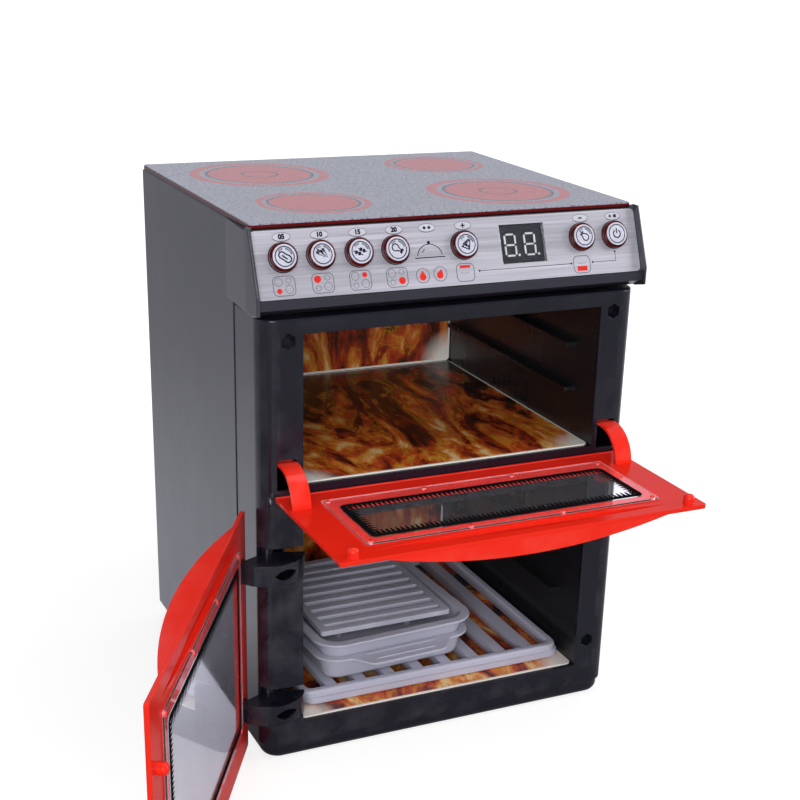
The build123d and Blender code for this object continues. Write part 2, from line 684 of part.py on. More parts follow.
MODULE_FRONT = -1.9
with BuildPart() as display_module:
    with BuildSketch(fascia.offset(BOARD_FRONT)):
        with Locations((sum(DISPLAY_X) / 2, sum(DISPLAY_Y) / 2)):
            Rectangle(DISPLAY_X[1] - DISPLAY_X[0] - 0.6, DISPLAY_Y[1] - DISPLAY_Y[0] - 0.6)
    extrude(amount=MODULE_FRONT - BOARD_FRONT)
display_module.part.label = "display_module"
export_step(display_module.part, "parts/display_module.step")

# Light guides of the two digits: seven bars and a point each
DIGIT_X = (38.8, 52.6)
DIGIT_Y = 30.6
BAR_LONG = 5.4
BAR_WIDE = 1.1
BAR_ROWS = 6.6  # between the level bars
UPRIGHT_AT = (3.6, 3.3)  # of an upright bar from its digit's middle
POINT_AT = (5.6, -6.4)
POINT_R = 0.75
BAR_PROUD = 0.5
with BuildPart() as display_digits:
    with BuildSketch(fascia.offset(MODULE_FRONT)):
        for middle in DIGIT_X:
            with Locations(*[(middle, DIGIT_Y + row * BAR_ROWS) for row in (-1, 0, 1)]):
                SlotOverall(BAR_LONG, BAR_WIDE)
            uprights = [(side * UPRIGHT_AT[0], half * UPRIGHT_AT[1]) for side in (-1, 1) for half in (-1, 1)]
            with Locations(*[(middle + dx, DIGIT_Y + dy) for dx, dy in uprights]):
                SlotOverall(BAR_LONG, BAR_WIDE, rotation=90)
            with Locations((middle + POINT_AT[0], DIGIT_Y + POINT_AT[1])):
                Circle(POINT_R)
    extrude(amount=BAR_PROUD)
display_digits.part.label = "display_digits"
export_step(display_digits.part, "parts/display_digits.step")

BOARD_HALF = 124.0
with BuildPart() as main_circuit_board:
    with BuildSketch(fascia.offset(BOARD_FRONT)):
        with Locations((0, 29.0)):
            Rectangle(2 * BOARD_HALF, 34.0)
        with Locations(*BOARD_POSTS):
            Circle(1.3, mode=Mode.SUBTRACT)
    extrude(amount=-BOARD_THICK)
    # sound chip under its blob of resin, and two capacitors
    with BuildSketch(fascia.offset(BOARD_FRONT - BOARD_THICK)):
        with Locations((-40.0, 32.0)):
            Circle(6.0)
    extrude(amount=-2.0)
    with BuildSketch(fascia.offset(BOARD_FRONT - BOARD_THICK)):
        with Locations((10.0, 34.0), (20.0, 34.0)):
            Circle(2.5)
    extrude(amount=-6.0)
main_circuit_board.part.label = "main_circuit_board"
export_step(main_circuit_board.part, "parts/main_circuit_board.step")

with BuildPart() as button_pad_mat:
    with BuildSketch(fascia.offset(BOARD_FRONT)):
        with Locations((0, BUTTON_ROW)):
            RectangleRounded(2 * BOARD_HALF - 2, 20.0, 2.0)
        with Locations((sum(DISPLAY_X) / 2, sum(DISPLAY_Y) / 2)):
            Rectangle(DISPLAY_X[1] - DISPLAY_X[0] + 2, 40.0, mode=Mode.SUBTRACT)
    extrude(amount=0.8)
    with BuildSketch(fascia.offset(BOARD_FRONT + 0.8)):
        with Locations(*[(x, BUTTON_ROW) for x in BUTTON_X.values()]):
            Circle(4.5)
    extrude(amount=1.9, taper=20)
button_pad_mat.part.label = "button_pad_mat"
export_step(button_pad_mat.part, "parts/button_pad_mat.step")

# Buttons: a coloured cap with a retaining flange, and a printed disc on its end
for button, button_x in BUTTON_X.items():
    with BuildPart() as cap:
        with BuildSketch(fascia.offset(STEM_LOW)):
            with Locations((button_x, BUTTON_ROW)):
                Circle(STEM_R)
        extrude(amount=FLANGE_LOW - STEM_LOW)
        with BuildSketch(fascia.offset(FLANGE_LOW)):
            with Locations((button_x, BUTTON_ROW)):
                Circle(FLANGE_R)
        extrude(amount=FLANGE_TOP - FLANGE_LOW)
        with BuildSketch(fascia.offset(FLANGE_TOP)):
            with Locations((button_x, BUTTON_ROW)):
                Circle(BUTTON_R)
        extrude(amount=BUTTON_OUT - FLANGE_TOP)
        rim = cap.faces().sort_by(Axis(fascia.origin, fascia.z_dir))[-1]
        fillet(rim.edges(), 0.9)
    cap.part.label = f"button_{button}_cap"
    export_step(cap.part, f"parts/button_{button}_cap.step")

    with BuildPart() as disc:
        with BuildSketch(fascia.offset(BUTTON_OUT)):
            with Locations((button_x, BUTTON_ROW)):
                Circle(BUTTON_FACE_R)
        extrude(amount=BUTTON_FACE_THICK)
        with BuildSketch(fascia.offset(BUTTON_OUT + BUTTON_FACE_THICK)):
            with Locations((button_x, BUTTON_ROW)):
                Circle(BUTTON_GROOVE[1])
                Circle(BUTTON_GROOVE[0], mode=Mode.SUBTRACT)
        extrude(amount=-BUTTON_GROOVE_DEEP, mode=Mode.SUBTRACT)
    disc.part.label = f"button_{button}_disc"
    export_step(disc.part, f"parts/button_{button}_disc.step")

# ---------------------------------------------------------------- doors


def door_leaf(plane, height, handle_out, studs, pane_low, window_low):
    """A door moulding in its own plane.

    Local x runs along the handle edge, local y away from it, local z out of the inner face.
    """
    with BuildPart() as leaf:
        with BuildSketch(plane):
            with Locations((0, height / 2)):
                RectangleRounded(2 * DOOR_HALF, height, DOOR_CORNER)
        extrude(amount=-DOOR_THICK)
        outer_rim = leaf.edges().group_by(Axis(plane.origin, plane.z_dir))[0]
        fillet(outer_rim, DOOR_ROUND)
        # bow handle: a crescent that stands out of the outer face along the handle edge
        with BuildSketch(Plane(plane.origin, x_dir=plane.x_dir, z_dir=plane.y_dir)):
            with BuildLine():
                left = (-HANDLE_HALF, DOOR_THICK - HANDLE_SINK)
                right = (HANDLE_HALF, DOOR_THICK - HANDLE_SINK)
                ThreePointArc(left, (0, DOOR_THICK + handle_out), right)
                Line(right, left)
            make_face()
        extrude(amount=HANDLE_DEEP)
        # pointed grip hollow behind the handle
        for (half_long, near, far), deep in ((HOLLOW_WIDE, HOLLOW_SHALLOW), (HOLLOW_NARROW, HOLLOW_DEEP)):
            tips = (-half_long, HOLLOW_Y), (half_long, HOLLOW_Y)
            with BuildSketch(plane):
                with BuildLine():
                    ThreePointArc(tips[0], (0, near), tips[1])
                    ThreePointArc(tips[1], (0, far), tips[0])
                make_face()
            extrude(amount=-deep, mode=Mode.SUBTRACT)
        # window, closed from inside by the pane on its stakes
        with BuildSketch(plane):
            with Locations((0, (WINDOW_TOP + window_low) / 2)):
                RectangleRounded(2 * WINDOW_HALF, window_low - WINDOW_TOP, WINDOW_CORNER)
        extrude(amount=-2 * DOOR_THICK, mode=Mode.SUBTRACT)
        with BuildSketch(plane):
            with Locations(*studs):
                Circle(STUD_R)
        extrude(amount=STUD_TALL)
        stud_tops = leaf.edges().group_by(Axis(plane.origin, plane.z_dir))[-1]
        fillet(stud_tops, STUD_DOME)
        with BuildSketch(plane):
            with Locations(*pane_stakes(pane_low)):
                Circle(STAKE_R)
        extrude(amount=PANE_GAP + PANE_THICK + STAKE_HEAD)
    return leaf.part


def pane_stakes(pane_low):
    """Where the pane is staked to its door, in the door's plane."""
    rows = PANE_TOP + STAKE_INSET, pane_low - STAKE_INSET
    return [(side * x, y) for x in STAKE_X for side in (-1, 1) for y in rows]


def door_pane(plane, pane_low):
    """The clear pane on a door's inner face."""
    with BuildPart() as pane:
        with BuildSketch(plane.offset(PANE_GAP)):
            with Locations((0, (PANE_TOP + pane_low) / 2)):
                RectangleRounded(2 * PANE_HALF, pane_low - PANE_TOP, 1.0)
            with Locations(*pane_stakes(pane_low)):
                Circle(STAKE_R + STAKE_FIT, mode=Mode.SUBTRACT)
        extrude(amount=PANE_THICK)
    return pane.part


# Upper door, lying open
UPPER_PANE_LOW = 87.5
UPPER_WINDOW_LOW = 76.3
upper_plane = Plane(origin=(0, UPPER_FREE, UPPER_FACE), x_dir=(1, 0, 0), z_dir=(0, 0, 1))
upper_height = FRONT - 3.1 - UPPER_FREE
upper_stud_y = (UPPER_PIVOT[0] - (CATCHES[0][1] - UPPER_PIVOT[1])) - UPPER_FREE
with BuildPart() as upper_door_frame:
    add(
        door_leaf(
            upper_plane,
            upper_height,
            UPPER_HANDLE_OUT,
            [(CATCHES[0][0], upper_stud_y), (CATCHES[1][0], upper_stud_y)],
            UPPER_PANE_LOW,
            UPPER_WINDOW_LOW,
        )
    )
    # hinge barrel along the lower edge
    with BuildSketch(Plane.YZ.offset(-DOOR_HALF)):
        with Locations(UPPER_PIVOT):
            Circle(BARREL_R)
    extrude(amount=2 * DOOR_HALF)
    # curved straps that run through the frame and stop the door when it is level
    for side in (-1, 1):
        with BuildSketch(Plane.YZ.offset(side * UPPER_ARM_X[0])):
            for inner, outer, start, sweep in (
                (UPPER_ARM_R[0], UPPER_ARM_R[1], 63.0, 116.0),
                (UPPER_ARM_R[0], UPPER_ARM_R[1] + 1.4, 63.0, 5.0),
            ):
                with BuildLine():
                    near = CenterArc(UPPER_PIVOT, inner, start, sweep)
                    far = CenterArc(UPPER_PIVOT, outer, start, sweep)
                    Line(near @ 0, far @ 0)
                    Line(near @ 1, far @ 1)
                make_face()
        extrude(amount=side * (UPPER_ARM_X[1] - UPPER_ARM_X[0]))
    # bores for the hinge pins
    for side in (-1, 1):
        with BuildSketch(Plane.YZ.offset(side * DOOR_HALF)):
            with Locations(UPPER_PIVOT):
                Circle(UPPER_PIN_R + PIN_FIT)
        extrude(amount=-side * 8, mode=Mode.SUBTRACT)
upper_door_frame.part.label = "upper_door_frame"
export_step(upper_door_frame.part, "parts/upper_door_frame.step")

with BuildPart() as upper_door_pane:
    add(door_pane(upper_plane, UPPER_PANE_LOW))
upper_door_pane.part.label = "upper_door_pane"
export_step(upper_door_pane.part, "parts/upper_door_pane.step")

# Lower door, swung open about its left edge
LOWER_PANE_LOW = 144.0
LOWER_WINDOW_LOW = 139.0
lower_height = LOWER_DOOR[1] - LOWER_DOOR[0]
lower_plane = Plane(
    origin=(*door_point(DOOR_HALF + 0.2, 0), LOWER_DOOR[1]),
    x_dir=(cos(radians(LOWER_OPEN)), -sin(radians(LOWER_OPEN)), 0),
    z_dir=(sin(radians(LOWER_OPEN)), cos(radians(LOWER_OPEN)), 0),
)
# a stud meets its socket when the door is closed, so it is as far from the pivot
lower_studs = [(x, LOWER_DOOR[1] - z) for x, z in CATCHES[2:]]
with BuildPart() as lower_door_frame:
    add(
        door_leaf(
            lower_plane, lower_height, LOWER_HANDLE_OUT, lower_studs, LOWER_PANE_LOW, LOWER_WINDOW_LOW
        )
    )
lower_door_frame.part.label = "lower_door_frame"
export_step(lower_door_frame.part, "parts/lower_door_frame.step")

with BuildPart() as lower_door_pane:
    add(door_pane(lower_plane, LOWER_PANE_LOW))
lower_door_pane.part.label = "lower_door_pane"
export_step(lower_door_pane.part, "parts/lower_door_pane.step")

# Arms of the lower door: a curved strap between two webs that turn on a knuckle
ARM_START = 203.5
ARM_END = 340.0
STRAP_HOLE_X = -117.6
inner_face = Plane(
    origin=(*door_point(0, 0), 0),
    x_dir=lower_plane.x_dir,
    z_dir=-lower_plane.z_dir,
)
for arm_name, strap_low in LOWER_ARMS.items():
    web_levels = (strap_low, strap_low + ARM_TALL - ARM_WEB)
    with BuildPart() as arm:
        with BuildSketch(Plane.XY.offset(strap_low)):
            with BuildLine():
                near = CenterArc(LOWER_PIVOT, LOWER_ARM_R[0], ARM_START - 6, ARM_END - ARM_START + 6)
                far = CenterArc(LOWER_PIVOT, LOWER_ARM_R[1], ARM_START - 6, ARM_END - ARM_START + 6)
                Line(near @ 0, far @ 0)
                Line(near @ 1, far @ 1)
            make_face()
        extrude(amount=ARM_TALL)
        for level in web_levels:
            with BuildSketch(Plane.XY.offset(level)):
                with BuildLine():
                    rim_arc = CenterArc(LOWER_PIVOT, LOWER_ARM_R[0] + 0.5, ARM_START, ARM_END - ARM_START)
                    Line(rim_arc @ 1, LOWER_PIVOT)
                    Line(LOWER_PIVOT, rim_arc @ 0)
                make_face()
            extrude(amount=ARM_WEB)
        # foot that lies on the door's inner face
        with BuildSketch(inner_face):
            with Locations((17.0, strap_low + ARM_TALL / 2)):
                Rectangle(9.0, ARM_TALL)
        extrude(amount=-1.6)
        # the strap ends on the inner face
        with BuildSketch(inner_face):
            with Locations((20.0, strap_low + ARM_TALL / 2)):
                Rectangle(60.0, 2 * ARM_TALL)
        extrude(amount=10, mode=Mode.SUBTRACT)
        # knuckle on the pin
        with BuildSketch(Plane.XY.offset(strap_low - SLOT_DROP + 0.3)):
            with Locations(LOWER_PIVOT):
                Circle(KNUCKLE_R)
        extrude(amount=SLOT_TALL - 0.6)
        with BuildSketch(Plane.XY.offset(strap_low - SLOT_DROP)):
            with Locations(LOWER_PIVOT):
                Circle(LOWER_PIN_R)
        extrude(amount=SLOT_TALL, mode=Mode.SUBTRACT)
        # lens-shaped hole in the front of the strap
        with BuildSketch(Plane.XZ.offset(-(FRONT - 4.0))):
            with BuildLine():
                middle = strap_low + ARM_TALL / 2
                ThreePointArc(
                    (STRAP_HOLE_X - 7.5, middle - 0.5),
                    (STRAP_HOLE_X + 1.0, middle + 3.3),
                    (STRAP_HOLE_X + 7.5, middle + 0.5),
                )
                ThreePointArc(
                    (STRAP_HOLE_X + 7.5, middle + 0.5),
                    (STRAP_HOLE_X + 1.0, middle - 3.3),
                    (STRAP_HOLE_X - 7.5, middle - 0.5),
                )
            make_face()
        extrude(amount=10, mode=Mode.SUBTRACT)
    arm.part.label = arm_name
    export_step(arm.part, f"parts/{arm_name}.step")

# ---------------------------------------------------------------- hinge pins
with BuildPart() as upper_hinge_pins:
    for side in (-1, 1):
        with BuildSketch(Plane.YZ.offset(side * (DOOR_HALF - 7))):
            with Locations(UPPER_PIVOT):
                Circle(UPPER_PIN_R)
        extrude(amount=side * 10.1)
upper_hinge_pins.part.label = "upper_hinge_pins"
export_step(upper_hinge_pins.part, "parts/upper_hinge_pins.step")

with BuildPart() as lower_hinge_pins:
    for strap_low in LOWER_ARMS.values():
        pin_low = strap_low - SLOT_DROP - EAR
        with BuildSketch(Plane.XY.offset(pin_low)):
            with Locations(LOWER_PIVOT):
                Circle(LOWER_PIN_R - PIN_FIT)
        extrude(amount=SLOT_TALL + 2 * EAR)
        with BuildSketch(Plane.XY.offset(pin_low + SLOT_TALL + 2 * EAR)):
            with Locations(LOWER_PIVOT):
                Circle(2.6)
        extrude(amount=1.0)
lower_hinge_pins.part.label = "lower_hinge_pins"
export_step(lower_hinge_pins.part, "parts/lower_hinge_pins.step")

# ---------------------------------------------------------------- sound and power
with BuildPart() as speaker:
    with BuildSketch(rear.offset(-WALL - 0.3)):
        with Locations((-SPEAKER_AT[0], SPEAKER_AT[1])):
            Circle(20.3)
    extrude(amount=-1.5)
    with BuildSketch(rear.offset(-WALL - 1.8)):
        with Locations((-SPEAKER_AT[0], SPEAKER_AT[1])):
            Circle(17.5)
    extrude(amount=-4.0, taper=35)
    with BuildSketch(rear.offset(-WALL - 5.8)):
        with Locations((-SPEAKER_AT[0], SPEAKER_AT[1])):
            Circle(10.0)
    extrude(amount=-4.5)
speaker.part.label = "speaker"
export_step(speaker.part, "parts/speaker.step")

with BuildPart() as battery_box:
    bay_plane = rear.offset(-(BACK - BAY_FRONT))
    with BuildSketch(bay_plane):
        with Locations((0, sum(BAY_Z) / 2)):
            Rectangle(2 * (BAY_X + BAY_WALL), BAY_Z[1] - BAY_Z[0] + 2 * BAY_WALL)
        with Locations((0, DOOR_SCREW_Z)):
            Rectangle(14.0, 12.0)
    extrude(amount=COVER_FRONT - BAY_FRONT - 0.1)
    with BuildSketch(bay_plane.offset(1.8)):
        with Locations((0, sum(BAY_Z) / 2)):
            Rectangle(2 * BAY_X, BAY_Z[1] - BAY_Z[0])
    extrude(amount=30, mode=Mode.SUBTRACT)
    # low ridges between the cells
    with BuildSketch(bay_plane.offset(1.8)):
        with Locations(*[(0, sum(BAY_Z) / 2 + dz) for dz in (-7.6, 7.6)]):
            Rectangle(40.0, 1.0)
    extrude(amount=2.5)
    with Locations(bay_plane.offset(COVER_FRONT - BAY_FRONT)):
        with Locations((0, DOOR_SCREW_Z)):
            Hole(SCREW_HOLE_R, 13)
battery_box.part.label = "battery_box"
export_step(battery_box.part, "parts/battery_box.step")

with BuildPart() as battery_contacts:
    for side in (-1, 1):
        for row in (-1, 0, 1):
            at = (side * (BAY_X - 0.1), BAY_FRONT + 10.0, sum(BAY_Z) / 2 + row * 15.2)
            with BuildSketch(Plane(origin=at, x_dir=(0, 1, 0), z_dir=(-side, 0, 0))):
                Rectangle(10.0, 11.0)
            extrude(amount=0.5)
            with BuildSketch(Plane(origin=at, x_dir=(0, 1, 0), z_dir=(-side, 0, 0)).offset(0.5)):
                Circle(3.0)
            extrude(amount=3.0 if side * (row or 1) > 0 else 0.8, taper=12)
battery_contacts.part.label = "battery_contacts"
export_step(battery_contacts.part, "parts/battery_contacts.step")

with BuildPart() as battery_door:
    with BuildSketch(rear):
        with Locations((0, sum(BAY_Z) / 2)):
            Rectangle(2 * BAY_X + 3.6, BAY_Z[1] - BAY_Z[0] + 3.6)
        with Locations((0, DOOR_SCREW_Z - 1)):
            Rectangle(12.0, 10.0)
    extrude(amount=-(WALL - 0.1))
    # grip lines
    with BuildSketch(rear):
        with Locations(*[(0, BAY_Z[0] + 8 + 3 * n) for n in range(4)]):
            Rectangle(24.0, 1.0)
    extrude(amount=-0.6, mode=Mode.SUBTRACT)
    with Locations(rear):
        with Locations((0, DOOR_SCREW_Z)):
            CounterBoreHole(SCREW_R + 0.25, SCREW_HEAD_R + 0.3, SCREW_HEAD, WALL + 1)
battery_door.part.label = "battery_door"
export_step(battery_door.part, "parts/battery_door.step")

# ---------------------------------------------------------------- screws


def cross_screw(plane, spots, head_top, length):
    """Pan-head screws with a cross recess: head outwards along the plane's normal."""
    with BuildPart() as screws:
        with BuildSketch(plane.offset(head_top - SCREW_HEAD)):
            with Locations(*spots):
                Circle(SCREW_HEAD_R)
        extrude(amount=SCREW_HEAD)
        with BuildSketch(plane.offset(head_top)):
            with Locations(*spots):
                Rectangle(3.6, 0.8)
                Rectangle(0.8, 3.6)
        extrude(amount=-0.9, mode=Mode.SUBTRACT)
        with BuildSketch(plane.offset(head_top - SCREW_HEAD)):
            with Locations(*spots):
                Circle(SCREW_R)
        extrude(amount=-length)
    return screws.part


with BuildPart() as base_screws:
    add(cross_screw(underside, [(x, -y) for x, y in BASE_SCREWS], SCREW_HEAD - BASE_BORE_DEPTH, 15.0))
base_screws.part.label = "base_screws"
export_step(base_screws.part, "parts/base_screws.step")

with BuildPart() as rear_cover_screws:
    add(cross_screw(rear, [(-x, z) for x, z in REAR_SCREWS], 0.0, 11.0))
rear_cover_screws.part.label = "rear_cover_screws"
export_step(rear_cover_screws.part, "parts/rear_cover_screws.step")

with BuildPart() as battery_door_screw:
    add(cross_screw(rear, [(0, DOOR_SCREW_Z)], 0.0, 9.0))
battery_door_screw.part.label = "battery_door_screw"
export_step(battery_door_screw.part, "parts/battery_door_screw.step")

with BuildPart() as board_screws:
    behind = BOARD_FRONT - BOARD_THICK
    with BuildSketch(fascia.offset(behind)):
        with Locations(*BOARD_POSTS):
            Circle(2.2)
    extrude(amount=-1.2)
    with BuildSketch(fascia.offset(behind)):
        with Locations(*BOARD_POSTS):
            Circle(0.95)
    extrude(amount=6.0)
    below = LIGHT_BOARD_TOP - BOARD_THICK
    with BuildSketch(Plane.XY.offset(below)):
        with Locations(*BURNERS):
            with PolarLocations(BURNER_POST_R, 3, start_angle=90):
                Circle(2.2)
    extrude(amount=-1.2)
    with BuildSketch(Plane.XY.offset(below)):
        with Locations(*BURNERS):
            with PolarLocations(BURNER_POST_R, 3, start_angle=90):
                Circle(0.95)
    extrude(amount=4.0)
board_screws.part.label = "board_screws"
export_step(board_screws.part, "parts/board_screws.step")

# ---------------------------------------------------------------- racks and trays
for rack_name, (rack_x, rack_front, rack_low) in RACKS.items():
    with BuildPart() as rack:
        with BuildSketch(Plane.XY.offset(rack_low)):
            with Locations((rack_x, rack_front + RACK_DEEP / 2)):
                RectangleRounded(2 * RACK_HALF, RACK_DEEP, 9.0)
                RectangleRounded(2 * RACK_HALF - 2 * RACK_ROD, RACK_DEEP - 2 * RACK_ROD, 4.0, mode=Mode.SUBTRACT)
        extrude(amount=RACK_ROD)
        fillet(rack.edges().group_by(Axis.Z)[-1], 1.8)
        fillet(rack.edges().group_by(Axis.Z)[0], 1.8)
        with BuildSketch(Plane.XY.offset(rack_low + 0.6)):
            with Locations((rack_x, rack_front + RACK_DEEP / 2)):
                with GridLocations(RACK_PITCH, 1, RACK_BARS, 1):
                    Rectangle(RACK_BAR, RACK_DEEP - RACK_ROD)
        extrude(amount=RACK_ROD - 1.4)
    rack.part.label = rack_name
    export_step(rack.part, f"parts/{rack_name}.step")

TRAY_MID = (-28.7, FRONT + 82.0)
TRAY_TURN = 3.0  # degrees the trays lie turned on the rack
TRAY_FOOT = (100.7, 116.7)  # outer size of the lower tray's flat bottom
TRAY_TALL = 18.0
TRAY_SKIN = 1.5
TRAY_DRAFT = 13.0  # degrees
TRAY_CORNER = 10.0
TRAY_BASE = 39.2
TRAY_STEP = 11.5  # how far the nested tray stands above the lower one
TRAY_GROW = 0.6  # how much wider and deeper the nested tray is
TRAY_EDGE_R = 4.0  # rounding between floor and walls
LOWER_RIM = 3.5  # how far each rim turns out
UPPER_RIM = 4.5
RIM_EDGE_R = 0.6
GRIP_ROOT = 74.0  # width of a grip lip where it leaves the rim
GRIP_END = 54.0
GRIP_DEEP = 13.0
GRIP_ROUND = 6.0
GRIP_RIBS = {-1.5: 52.0, 7.0: 44.0}  # how far out each raised rib lies, and its length
RIB_WIDE = 1.2
RIB_PROUD = 0.6
PEG = (6.0, 3.0)  # stacking pegs on the lower tray's floor
PEG_X = 30.0
PEG_Y = 52.5
SPREAD = TRAY_TALL * tan(radians(TRAY_DRAFT))  # how far each wall leans out
TRAY_SIDE = (cos(radians(TRAY_TURN)), sin(radians(TRAY_TURN)), 0)


def roasting_tray(base, foot_wide, foot_deep, rim, grips):
    """A deep tray with sloping walls and a turned-out rim, with or without grip lips."""
    reach = foot_deep / 2 + SPREAD + rim
    ground = Plane(origin=(*TRAY_MID, base), x_dir=TRAY_SIDE, z_dir=(0, 0, 1))
    with BuildPart() as tray:
        with BuildSketch(ground):
            RectangleRounded(foot_wide, foot_deep, TRAY_CORNER)
        extrude(amount=TRAY_TALL, taper=-TRAY_DRAFT)
        fillet(tray.edges().group_by(Axis.Z)[0], TRAY_EDGE_R)
        with BuildSketch(ground.offset(TRAY_TALL - TRAY_SKIN)) as outline:
            RectangleRounded(foot_wide + 2 * (SPREAD + rim), 2 * reach, TRAY_CORNER + SPREAD + rim)
            if grips:
                Polygon(
                    (-GRIP_ROOT / 2, -reach),
                    (-GRIP_END / 2, -reach - GRIP_DEEP),
                    (GRIP_END / 2, -reach - GRIP_DEEP),
                    (GRIP_ROOT / 2, -reach),
                    (GRIP_ROOT / 2, reach),
                    (GRIP_END / 2, reach + GRIP_DEEP),
                    (-GRIP_END / 2, reach + GRIP_DEEP),
                    (-GRIP_ROOT / 2, reach),
                    align=None,
                )
                turns = outline.vertices().filter_by(lambda v: abs(v.X) < GRIP_ROOT / 2 + 1)
                fillet(turns, GRIP_ROUND)
        extrude(amount=TRAY_SKIN)
        fillet(tray.edges().group_by(Axis.Z)[-1], RIM_EDGE_R)
        with BuildSketch(ground.offset(TRAY_SKIN)):
            RectangleRounded(foot_wide - 2 * TRAY_SKIN, foot_deep - 2 * TRAY_SKIN, TRAY_CORNER - TRAY_SKIN)
        extrude(amount=TRAY_TALL, taper=-TRAY_DRAFT, mode=Mode.SUBTRACT)
        fillet(tray.faces().filter_by(Axis.Z).sort_by(Axis.Z)[1].edges(), TRAY_EDGE_R - TRAY_SKIN)
        if grips:
            with BuildSketch(ground.offset(TRAY_TALL)):
                for out, length in GRIP_RIBS.items():
                    with Locations((0, reach + out), (0, -reach - out)):
                        SlotOverall(length, RIB_WIDE)
            extrude(amount=RIB_PROUD)
    return tray.part


with BuildPart() as lower_tray:
    add(roasting_tray(TRAY_BASE, *TRAY_FOOT, LOWER_RIM, True))
    # pegs that carry the nested tray
    with BuildSketch(Plane(origin=(*TRAY_MID, TRAY_BASE + TRAY_SKIN), x_dir=TRAY_SIDE, z_dir=(0, 0, 1))):
        with GridLocations(2 * PEG_X, 2 * PEG_Y, 2, 2):
            Rectangle(*PEG)
    extrude(amount=TRAY_STEP - TRAY_SKIN)
lower_tray.part.label = "lower_tray"
export_step(lower_tray.part, "parts/lower_tray.step")

with BuildPart() as upper_tray:
    add(
        roasting_tray(
            TRAY_BASE + TRAY_STEP,
            TRAY_FOOT[0] + TRAY_GROW,
            TRAY_FOOT[1] + TRAY_GROW,
            UPPER_RIM,
            False,
        )
    )
upper_tray.part.label = "upper_tray"
export_step(upper_tray.part, "parts/upper_tray.step")

# Ribbed insert on four feet in the upper tray
GRILL_MID = TRAY_MID
GRILL_LOW = 67.0
GRILL_TOP = 70.5
GRILL_WIDE = 96.0
GRILL_DEEP = 98.0
GRILL_EDGE = 5.0
GRILL_PITCH = 12.1
GRILL_RIBS = 7
GRILL_RIB = 5.5
GRILL_FOOT_X = 26.0
GRILL_FOOT_R = 2.5
GRILL_FLOOR = TRAY_BASE + TRAY_STEP + TRAY_SKIN
with BuildPart() as grill_insert:
    with BuildSketch(Plane(origin=(*GRILL_MID, GRILL_LOW))):
        RectangleRounded(GRILL_WIDE, GRILL_DEEP, 2.0)
        Rectangle(GRILL_WIDE - 2 * GRILL_EDGE, GRILL_DEEP - 2 * GRILL_EDGE, mode=Mode.SUBTRACT)
        with GridLocations(0, GRILL_PITCH, 1, GRILL_RIBS):
            Rectangle(GRILL_WIDE - GRILL_EDGE, GRILL_RIB)
    extrude(amount=GRILL_TOP - GRILL_LOW)
    # the feet stand under the first and last rib
    with BuildSketch(Plane(origin=(*GRILL_MID, GRILL_FLOOR))):
        with GridLocations(2 * GRILL_FOOT_X, (GRILL_RIBS - 3) * GRILL_PITCH, 2, 2):
            Circle(GRILL_FOOT_R)
    extrude(amount=GRILL_TOP - GRILL_FLOOR)
grill_insert.part.label = "grill_insert"
export_step(grill_insert.part, "parts/grill_insert.step")
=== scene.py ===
"""Looks of the toy oven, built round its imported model. Metres, in the model's own frame."""

import json
import math

import bmesh
import bpy
from mathutils import Euler, Matrix, Vector


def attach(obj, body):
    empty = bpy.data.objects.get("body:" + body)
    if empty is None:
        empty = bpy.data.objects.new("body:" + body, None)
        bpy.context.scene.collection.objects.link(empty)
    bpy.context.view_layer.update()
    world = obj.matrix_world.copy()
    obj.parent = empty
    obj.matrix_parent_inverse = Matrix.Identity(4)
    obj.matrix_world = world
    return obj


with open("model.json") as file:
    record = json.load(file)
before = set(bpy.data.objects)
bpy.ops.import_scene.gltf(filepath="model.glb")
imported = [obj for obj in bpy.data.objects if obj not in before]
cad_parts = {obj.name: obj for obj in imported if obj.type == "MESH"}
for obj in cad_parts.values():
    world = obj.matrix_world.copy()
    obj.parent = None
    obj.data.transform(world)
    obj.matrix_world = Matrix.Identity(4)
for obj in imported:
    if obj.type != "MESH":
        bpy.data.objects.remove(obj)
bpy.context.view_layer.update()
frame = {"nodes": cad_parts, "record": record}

MM = 0.001
FRONT = -121.0  # face of the front frame, mm
PLATE_LOW = 345.6  # underside of the red light plate, mm

# ------------------------------------------------------------------ camera
PIXELS = 800.0
SENSOR = 36.0
FOCAL_PX = 1473.69
CENTRE_PX = (418.41, 509.36)  # where the lens's axis meets the picture
CAMERA_AT = (-0.40653, -0.90838, 0.51633)
CAMERA_TURN = (68.057, -1.6883, -25.236)  # degrees about X, Y and Z
NEAREST = 0.05
FARTHEST = 20.0
camera_data = bpy.data.cameras.new("camera")
camera_data.sensor_width = SENSOR
camera_data.lens = FOCAL_PX * SENSOR / PIXELS
camera_data.shift_x = (PIXELS / 2 - CENTRE_PX[0]) / PIXELS
camera_data.shift_y = (CENTRE_PX[1] - PIXELS / 2) / PIXELS
camera_data.clip_start = NEAREST
camera_data.clip_end = FARTHEST
camera = bpy.data.objects.new("camera", camera_data)
turned = Euler([math.radians(angle) for angle in CAMERA_TURN])
camera.matrix_world = Matrix.LocRotScale(Vector(CAMERA_AT), turned, None)
bpy.context.scene.collection.objects.link(camera)
bpy.context.scene.camera = camera

# ------------------------------------------------------------------ materials

NOISE_LOW = 0.3  # the range that most of a noise's values lie in
NOISE_HIGH = 0.7
RANGE_SOCKETS = ("From Min", "From Max", "To Min", "To Max")
EDGE_TURN = (0.97, 0.8)  # cosine of the turn that counts as no edge and as a full one
MIX_SOCKETS = (6, 7)  # A and B of a colour mix
MIX_RESULT = 2


